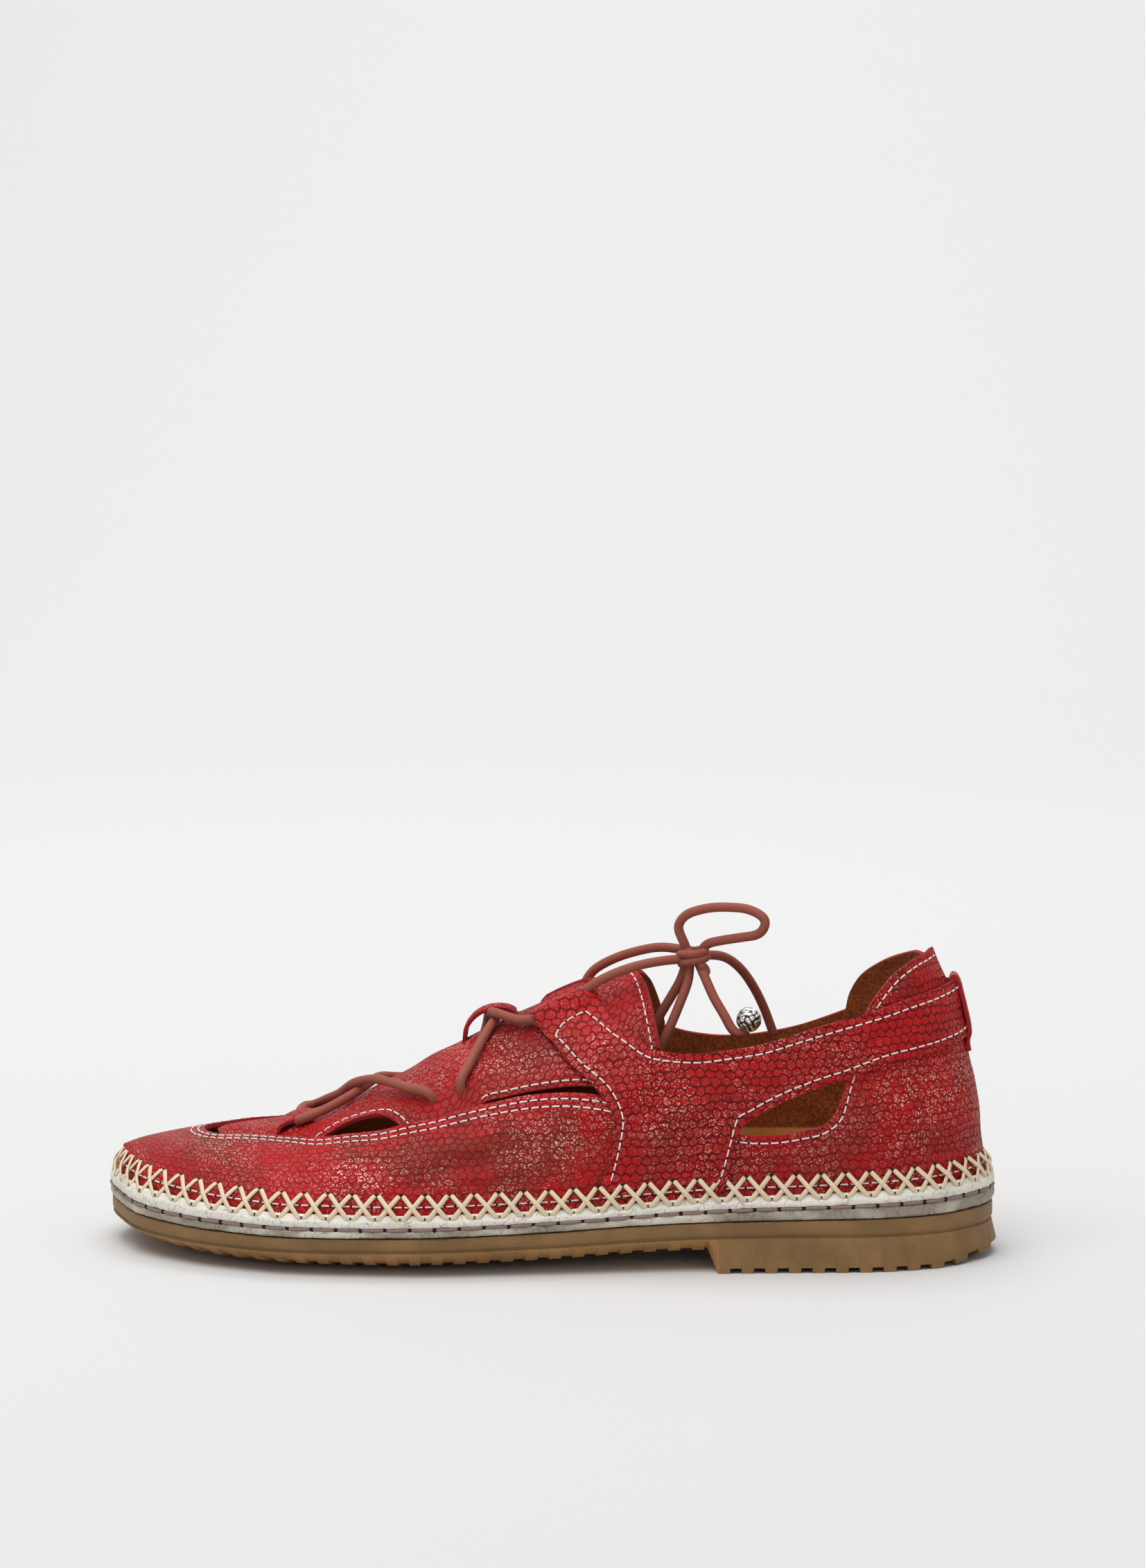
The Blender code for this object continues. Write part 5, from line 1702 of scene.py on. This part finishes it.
# Each mark: height at which the back is measured, distance behind it, own height
HEEL_LOOP_MARKS = (
    (78.4, 0.6, 78.2),
    (80.6, 0.8, 81.0),
    (81.2, 1.8, 82.5),
    (81.2, 3.2, 82.4),
    (80.4, 4.0, 80.8),
    (77.0, 3.8, 77.0),
    (72.0, 3.3, 72.0),
    (67.2, 2.8, 67.2),
    (64.8, 2.3, 64.8),
    (62.9, 1.3, 62.9),
    (61.4, 0.9, 61.4),
    (60.0, 0.9, 60.0),
)
back_rises = np.array([heel_rise(level) for level, _, _ in HEEL_LOOP_MARKS])
backs = wall(np.full(len(back_rises), math.pi), np.full(len(back_rises), LATERAL), back_rises)[:, 0]
route = [(back + off, 0.0, level) for back, (_, off, level) in zip(backs, HEEL_LOOP_MARKS)]
path = smooth_route(route, LOOP_SPACING)
run = unit(np.gradient(path, axis=0))
ups = np.stack([-run[:, 2], np.zeros(len(run)), run[:, 0]], -1)
strip = [path + (0.0, way * LOOP_WIDTH, 0.0) - ups * LOOP_SAG * (2.0 * way) ** 2 for way in STRIP_WAYS]
strip_piece("heel_loop_strap", np.stack(strip, 1), LEATHER_QUARTER, "heel_loop")
print("places along the heel loop:", len(path))

# %% [markdown]
# ## Elastic lace
# One round braided elastic crosses twice over the apron, runs through the tunnels of the quarters and
# is tied above the throat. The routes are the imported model's own, with the stretch under the front
# keeper added and the bead's end led on into the bead. Ends that go through the leather dive into it.

# %% Routes of the lace
LACE_RADIUS = 1.4
LACE_SIDES = 14
DIVE_DEPTH, DIVE_REACH = 1.8, 0.5
# On the leather, a mark is along, across and the lift off it. In the air it is along, across and height.
CROSS_FRONT_LOW = (
    (58.7, -9.0, 1.9), (65.0, -7.0, 1.9), (69.5, -4.6, 1.9), (74.0, -2.0, 1.9), (77.6, 1.6, 1.85),
    (79.6, 8.0, 1.8), (81.2, 15.0, 1.8), (84.0, 21.5, 1.8), (90.0, 26.0, 1.8), (98.5, 27.0, 1.8),
)
CROSS_FRONT_HIGH = (
    (58.7, 24.0, 1.8), (64.0, 18.5, 1.8), (68.5, 11.5, 1.9), (71.8, 5.2, 3.0), (74.6, 1.2, 4.1),
    (78.0, -2.2, 4.4), (81.6, -5.8, 4.2), (87.6, -13.6, 3.2), (93.0, -20.0, 2.4), (98.4, -24.8, 1.9),
)
UNDER_KEEPER = ((57.0, -5.0, 0.7), (56.4, 2.0, 0.5), (56.6, 9.0, 0.9), (57.4, 17.0, 1.4))
CROSS_REAR_LOW = (
    (106.8, -25.0, 1.9), (109.0, -19.5, 1.9), (111.4, -13.5, 1.9), (113.6, -7.5, 1.9), (115.4, -2.4, 1.85),
    (117.0, 3.0, 1.8), (120.2, 10.0, 1.8), (124.6, 14.6, 1.8), (128.5, 15.2, 1.8),
)
CROSS_REAR_HIGH = (
    (107.0, 25.0, 1.8), (110.4, 17.0, 1.8), (112.6, 9.5, 2.1), (114.2, 3.8, 3.3), (115.8, -0.6, 4.2),
    (118.2, -4.0, 3.9), (121.4, -7.2, 2.7), (125.0, -9.6, 1.9), (128.0, -10.6, 1.9),
)
TUNNEL_LATERAL = ((128.0, -10.6, 1.9), (133.0, -10.0, 1.9), (137.4, -9.6, 1.75))
TUNNEL_MEDIAL = ((128.5, 15.2, 1.8), (133.0, 14.4, 1.8), (137.4, 13.6, 1.75))
RUN_LATERAL = (
    (142.4, -10.4, 78.5), (148.4, -10.6, 82.1), (157.0, -9.0, 85.1), (164.0, -6.6, 86.2),
    (173.2, -3.4, 86.6),
)
RUN_MEDIAL = (
    (143.1, 13.4, 79.9), (149.2, 11.4, 83.8), (156.2, 8.6, 86.6), (163.0, 5.2, 88.4), (173.2, 0.4, 88.0),
)
LOOP_TOP = (
    (172.0, -2.0, 87.0), (170.2, -2.0, 91.6), (168.6, -2.0, 95.6), (170.4, -3.0, 98.8),
    (175.8, -5.0, 101.3), (184.0, -8.0, 102.4), (190.4, -10.0, 101.8), (194.6, -11.0, 98.9),
    (193.2, -10.2, 95.4), (187.5, -8.0, 93.6), (181.0, -5.4, 92.1), (176.4, -3.0, 90.2),
    (175.0, -2.4, 87.0),
)
LOOP_HANGING = (
    (171.6, -3.0, 86.8), (169.8, -3.0, 80.6), (166.6, -3.2, 74.8), (163.0, -3.6, 68.6), (160.2, -4.6, 62.0),
    (159.8, -6.6, 57.8), (161.0, -9.4, 55.8), (162.8, -11.2, 57.6), (163.8, -11.6, 61.2),
    (166.8, -10.2, 67.6), (169.8, -7.6, 74.8), (171.9, -5.4, 80.6), (172.2, -4.0, 86.6),
)
END_FAR = (
    (173.2, -1.0, 86.8), (178.0, 1.6, 86.8), (182.2, 6.6, 85.4), (186.4, 11.6, 81.6), (190.2, 15.6, 75.8),
    (193.4, 18.4, 69.0), (195.8, 19.8, 62.4), (196.6, 20.2, 60.0),
)
END_BEAD = (
    (171.0, -2.2, 88.8), (173.9, -3.6, 86.6), (176.3, -7.0, 82.5), (179.6, -10.5, 75.9),
    (182.9, -12.8, 70.8), (185.2, -14.4, 67.0), (186.6, -15.0, 66.0), (188.0, -15.0, 66.1),
    (189.3, -14.9, 67.3),
)


def on_leather(marks):
    """Places at a lift square to the leather, marked from above."""
    marks = np.array(marks)
    found = from_top(marks[:, 0], marks[:, 1])
    return wall(*found) + wall_normals(*found) * marks[:, 2:]


def dived(marks):
    """Marks with both ends led on and down through the leather."""
    marks = np.array(marks)
    ends = []
    for end, inner in ((marks[0], marks[1]), (marks[-1], marks[-2])):
        way = unit(end[:2] - inner[:2]) * DIVE_REACH
        ends.append([end[0] + way[0], end[1] + way[1], -DIVE_DEPTH])
    return np.concatenate([[ends[0]], marks, [ends[1]]])


def lace_rings(line):
    return tube_rings(line, LACE_RADIUS, LACE_RADIUS, LACE_SIDES)


print("marks on the hanging loop:", len(LOOP_HANGING))

# %% Lace
CROSSING_SPACING, CROSSING_EASING = 0.9, 6
FREE_SPACING, FREE_EASING = 0.7, 8

for name, crossings in (
    ("lace_cross_front", (CROSS_FRONT_LOW[::-1] + UNDER_KEEPER + CROSS_FRONT_HIGH,)),
    ("lace_cross_rear", (CROSS_REAR_LOW, CROSS_REAR_HIGH)),
):
    routes = [smooth_route(on_leather(dived(marks)), CROSSING_SPACING) for marks in crossings]
    lines = [eased(route, CROSSING_EASING) for route in routes]
    crossing = add_rings(name + "_elastic", [lace_rings(line) for line in lines], ELASTIC)
    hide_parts(name)

free_lengths = (
    ("lace_run_lateral", np.concatenate([on_leather(TUNNEL_LATERAL), RUN_LATERAL]), "knot", "taut"),
    ("lace_run_medial", np.concatenate([on_leather(TUNNEL_MEDIAL), RUN_MEDIAL]), "knot", "taut"),
    ("lace_loop_top", LOOP_TOP, "knot", "loose"),
    ("lace_loop_hanging", LOOP_HANGING, "knot", "hanging"),
    ("lace_end_far", END_FAR, "bare", "hanging"),
    ("lace_end_bead", END_BEAD, "fitting", "hanging"),
)
lace_lines, lace_pieces = {}, {}
for node, route, _, _ in free_lengths:
    lace_lines[node] = eased(smooth_route(route, FREE_SPACING), FREE_EASING)
    rings = lace_rings(lace_lines[node])
    lace_pieces[node] = add_rings(node + "_elastic", [rings], ELASTIC)
    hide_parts(node)
print("free lengths of lace:", len(lace_pieces))

# %% [markdown]
# ## Knot and bead
# The knot is the lace itself, wound round the strands: two wraps lie one below the other across the
# front, and one goes round low on the right. The bead is a hollow cast ball, pierced for the lace, with
# raised curls; its points are pushed in between the curls, and its map tells the metal where the
# recesses are.

# %% Knot
KNOT_MIDDLE = np.array((173.2, -2.0, 86.8))
WRAP_RADIUS, WRAP_SIDES, WRAP_WAVE = 1.25, 12, 0.25
# Each wrap: offset from the knot's middle, half width and half depth, lean and nod in degrees
WRAPS = (
    ((-0.2, -1.0, 1.3), (3.7, 4.4), (-9.0, -4.0)),
    ((0.3, -1.0, -0.8), (3.9, 4.4), (-17.0, -4.0)),
    ((2.1, -0.8, -2.2), (2.7, 4.0), (50.0, -6.0)),
)

wraps = []
for offset, (wide, deep), (lean, nod) in WRAPS:
    turn = np.linspace(0.0, 2.0 * math.pi, 49)
    ring = np.stack([wide * np.cos(turn), deep * np.sin(turn), WRAP_WAVE * np.sin(2.0 * turn)], -1)
    lean, nod = math.radians(lean), math.radians(nod)
    turned = np.array(Matrix.Rotation(lean, 3, "Y") @ Matrix.Rotation(nod, 3, "X"))
    line = KNOT_MIDDLE + np.array(offset) + ring @ turned.T
    wraps.append(tube_rings(line, WRAP_RADIUS, WRAP_RADIUS, WRAP_SIDES))
knot = add_rings("lace_knot_wraps", wraps, ELASTIC)
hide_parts("lace_knot")
print("knot wraps:", len(wraps))

# %% Bead
BEAD_MIDDLE = np.array((189.7, -14.8, 70.5))
BEAD_AXIS = unit(np.array((0.34, 0.08, 0.93)))
BEAD_RADIUS, BEAD_HOLE, BEAD_RELIEF, BEAD_WALL = 3.7, 1.5, 0.34, 0.6

around = np.linspace(0.0, 2.0 * math.pi, 73)
first_turn = math.asin(BEAD_HOLE / BEAD_RADIUS)
polar = np.linspace(first_turn, math.pi - first_turn, 41)
around, polar = np.meshgrid(around, polar, indexing="ij")
curl = np.sin(4.0 * around + 2.4 * np.sin(3.0 * polar)) * np.cos(5.0 * polar + 1.5 * np.sin(3.0 * around))
raised = soft_step(-0.05, 0.12, np.abs(curl) - 0.25)
from_hole = np.minimum(polar, math.pi - polar) - first_turn
rim = soft_step(0.2, 0.12, from_hole)
raised = np.clip(raised + rim, 0.0, 1.0)
reach = BEAD_RADIUS - BEAD_RELIEF * (1.0 - raised)
side_way = unit(np.cross(BEAD_AXIS, (0.0, 0.0, 1.0)))
up_way = np.cross(side_way, BEAD_AXIS)
spoke = np.cos(around)[..., None] * side_way + np.sin(around)[..., None] * up_way
ball = (np.cos(polar) * reach)[..., None] * BEAD_AXIS + (np.sin(polar) * reach)[..., None] * spoke
form, place = grid_form(BEAD_MIDDLE + ball, np.stack([around, raised], -1), True)
bmesh.ops.recalc_face_normals(form, faces=form.faces)
bead = add_piece("bead_ball", form, (SILVER,))
shell = bead.modifiers.new("shell", "SOLIDIFY")
shell.thickness = BEAD_WALL * MM
shell.offset = -1.0
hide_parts("bead")
print("bead faces:", len(bead.data.polygons))

# %% [markdown]
# ## Free lengths of the lace
# The free lengths of the lace are limp. Each is listed with its route and what its far end is; the loop
# below only reads each one's line.

for node, _, far_end, lay in free_lengths:
    line = lace_lines[node]

# %% [markdown]
# ## Studio
# The shoe stands on a pale sheet of paper that curves up behind it, so there is no horizon. The light
# is a bright room all round and one large soft lamp overhead, a little to the front and left. The
# lamp's size sets how soft the shadow under the sole is. A second lamp lights the paper behind.

# %% Paper
SWEEP_FRONT, SWEEP_BEND, SWEEP_RADIUS, SWEEP_TOP, SWEEP_HALF_WIDTH = -3.0, 1.2, 1.6, 3.6, 4.0
BEND_STEPS = 24
PAPER = paint(211, 211, 211)

paper = Finish("pale_paper")
paper.put(Base_Color=PAPER, Roughness=0.9, Specular_IOR_Level=0.1)
turns = np.linspace(0.0, math.pi / 2.0, BEND_STEPS + 1)
profile = [(SWEEP_FRONT, 0.0)]
profile += [(SWEEP_BEND + SWEEP_RADIUS * math.sin(t), SWEEP_RADIUS * (1.0 - math.cos(t))) for t in turns]
profile.append((SWEEP_BEND + SWEEP_RADIUS, SWEEP_TOP))
form = bmesh.new()
verts = [form.verts.new((-SWEEP_HALF_WIDTH, y, z)) for y, z in profile]
edges = [form.edges.new(pair) for pair in zip(verts, verts[1:])]
drawn = bmesh.ops.extrude_edge_only(form, edges=edges)["geom"]
moved = [item for item in drawn if isinstance(item, bmesh.types.BMVert)]
bmesh.ops.translate(form, verts=moved, vec=(2.0 * SWEEP_HALF_WIDTH, 0.0, 0.0))
bmesh.ops.recalc_face_normals(form, faces=form.faces)
sweep_mesh = bpy.data.meshes.new("paper_sweep")
form.to_mesh(sweep_mesh)
form.free()
sweep_mesh.materials.append(paper.material)
sweep_mesh.polygons.foreach_set("use_smooth", [True] * len(sweep_mesh.polygons))
sweep = bpy.data.objects.new("paper_sweep", sweep_mesh)
scene.collection.objects.link(sweep)
print("paper sweep faces:", len(sweep_mesh.polygons))

# %% Light
ROOM_LIGHT = 0.56
ROOM_COLOUR = (1.0, 0.995, 0.985, 1.0)
# Each lamp: name, watts, size, place and what it is aimed at, in metres
LAMPS = (
    ("soft_lamp", 48.0, 2.2, (-0.5, -0.8, 2.5), (0.0, 0.0, 0.0)),
    ("paper_lamp", 27.0, 1.6, (0.0, 0.9, 2.2), (0.0, 2.4, 0.3)),
)

room = bpy.data.worlds.new("bright_room")
scene.world = room
room.use_nodes = True
room.node_tree.nodes["Background"].inputs["Color"].default_value = ROOM_COLOUR
room.node_tree.nodes["Background"].inputs["Strength"].default_value = ROOM_LIGHT
for name, watts, size, place, aim in LAMPS:
    lamp_data = bpy.data.lights.new(name, "AREA")
    lamp_data.energy = watts
    lamp_data.size = size
    lamp = bpy.data.objects.new(name, lamp_data)
    lamp.location = place
    lamp.rotation_euler = (Vector(aim) - Vector(place)).to_track_quat("-Z", "Y").to_euler()
    scene.collection.objects.link(lamp)
scene.view_settings.view_transform = "Standard"
print("studio ready")
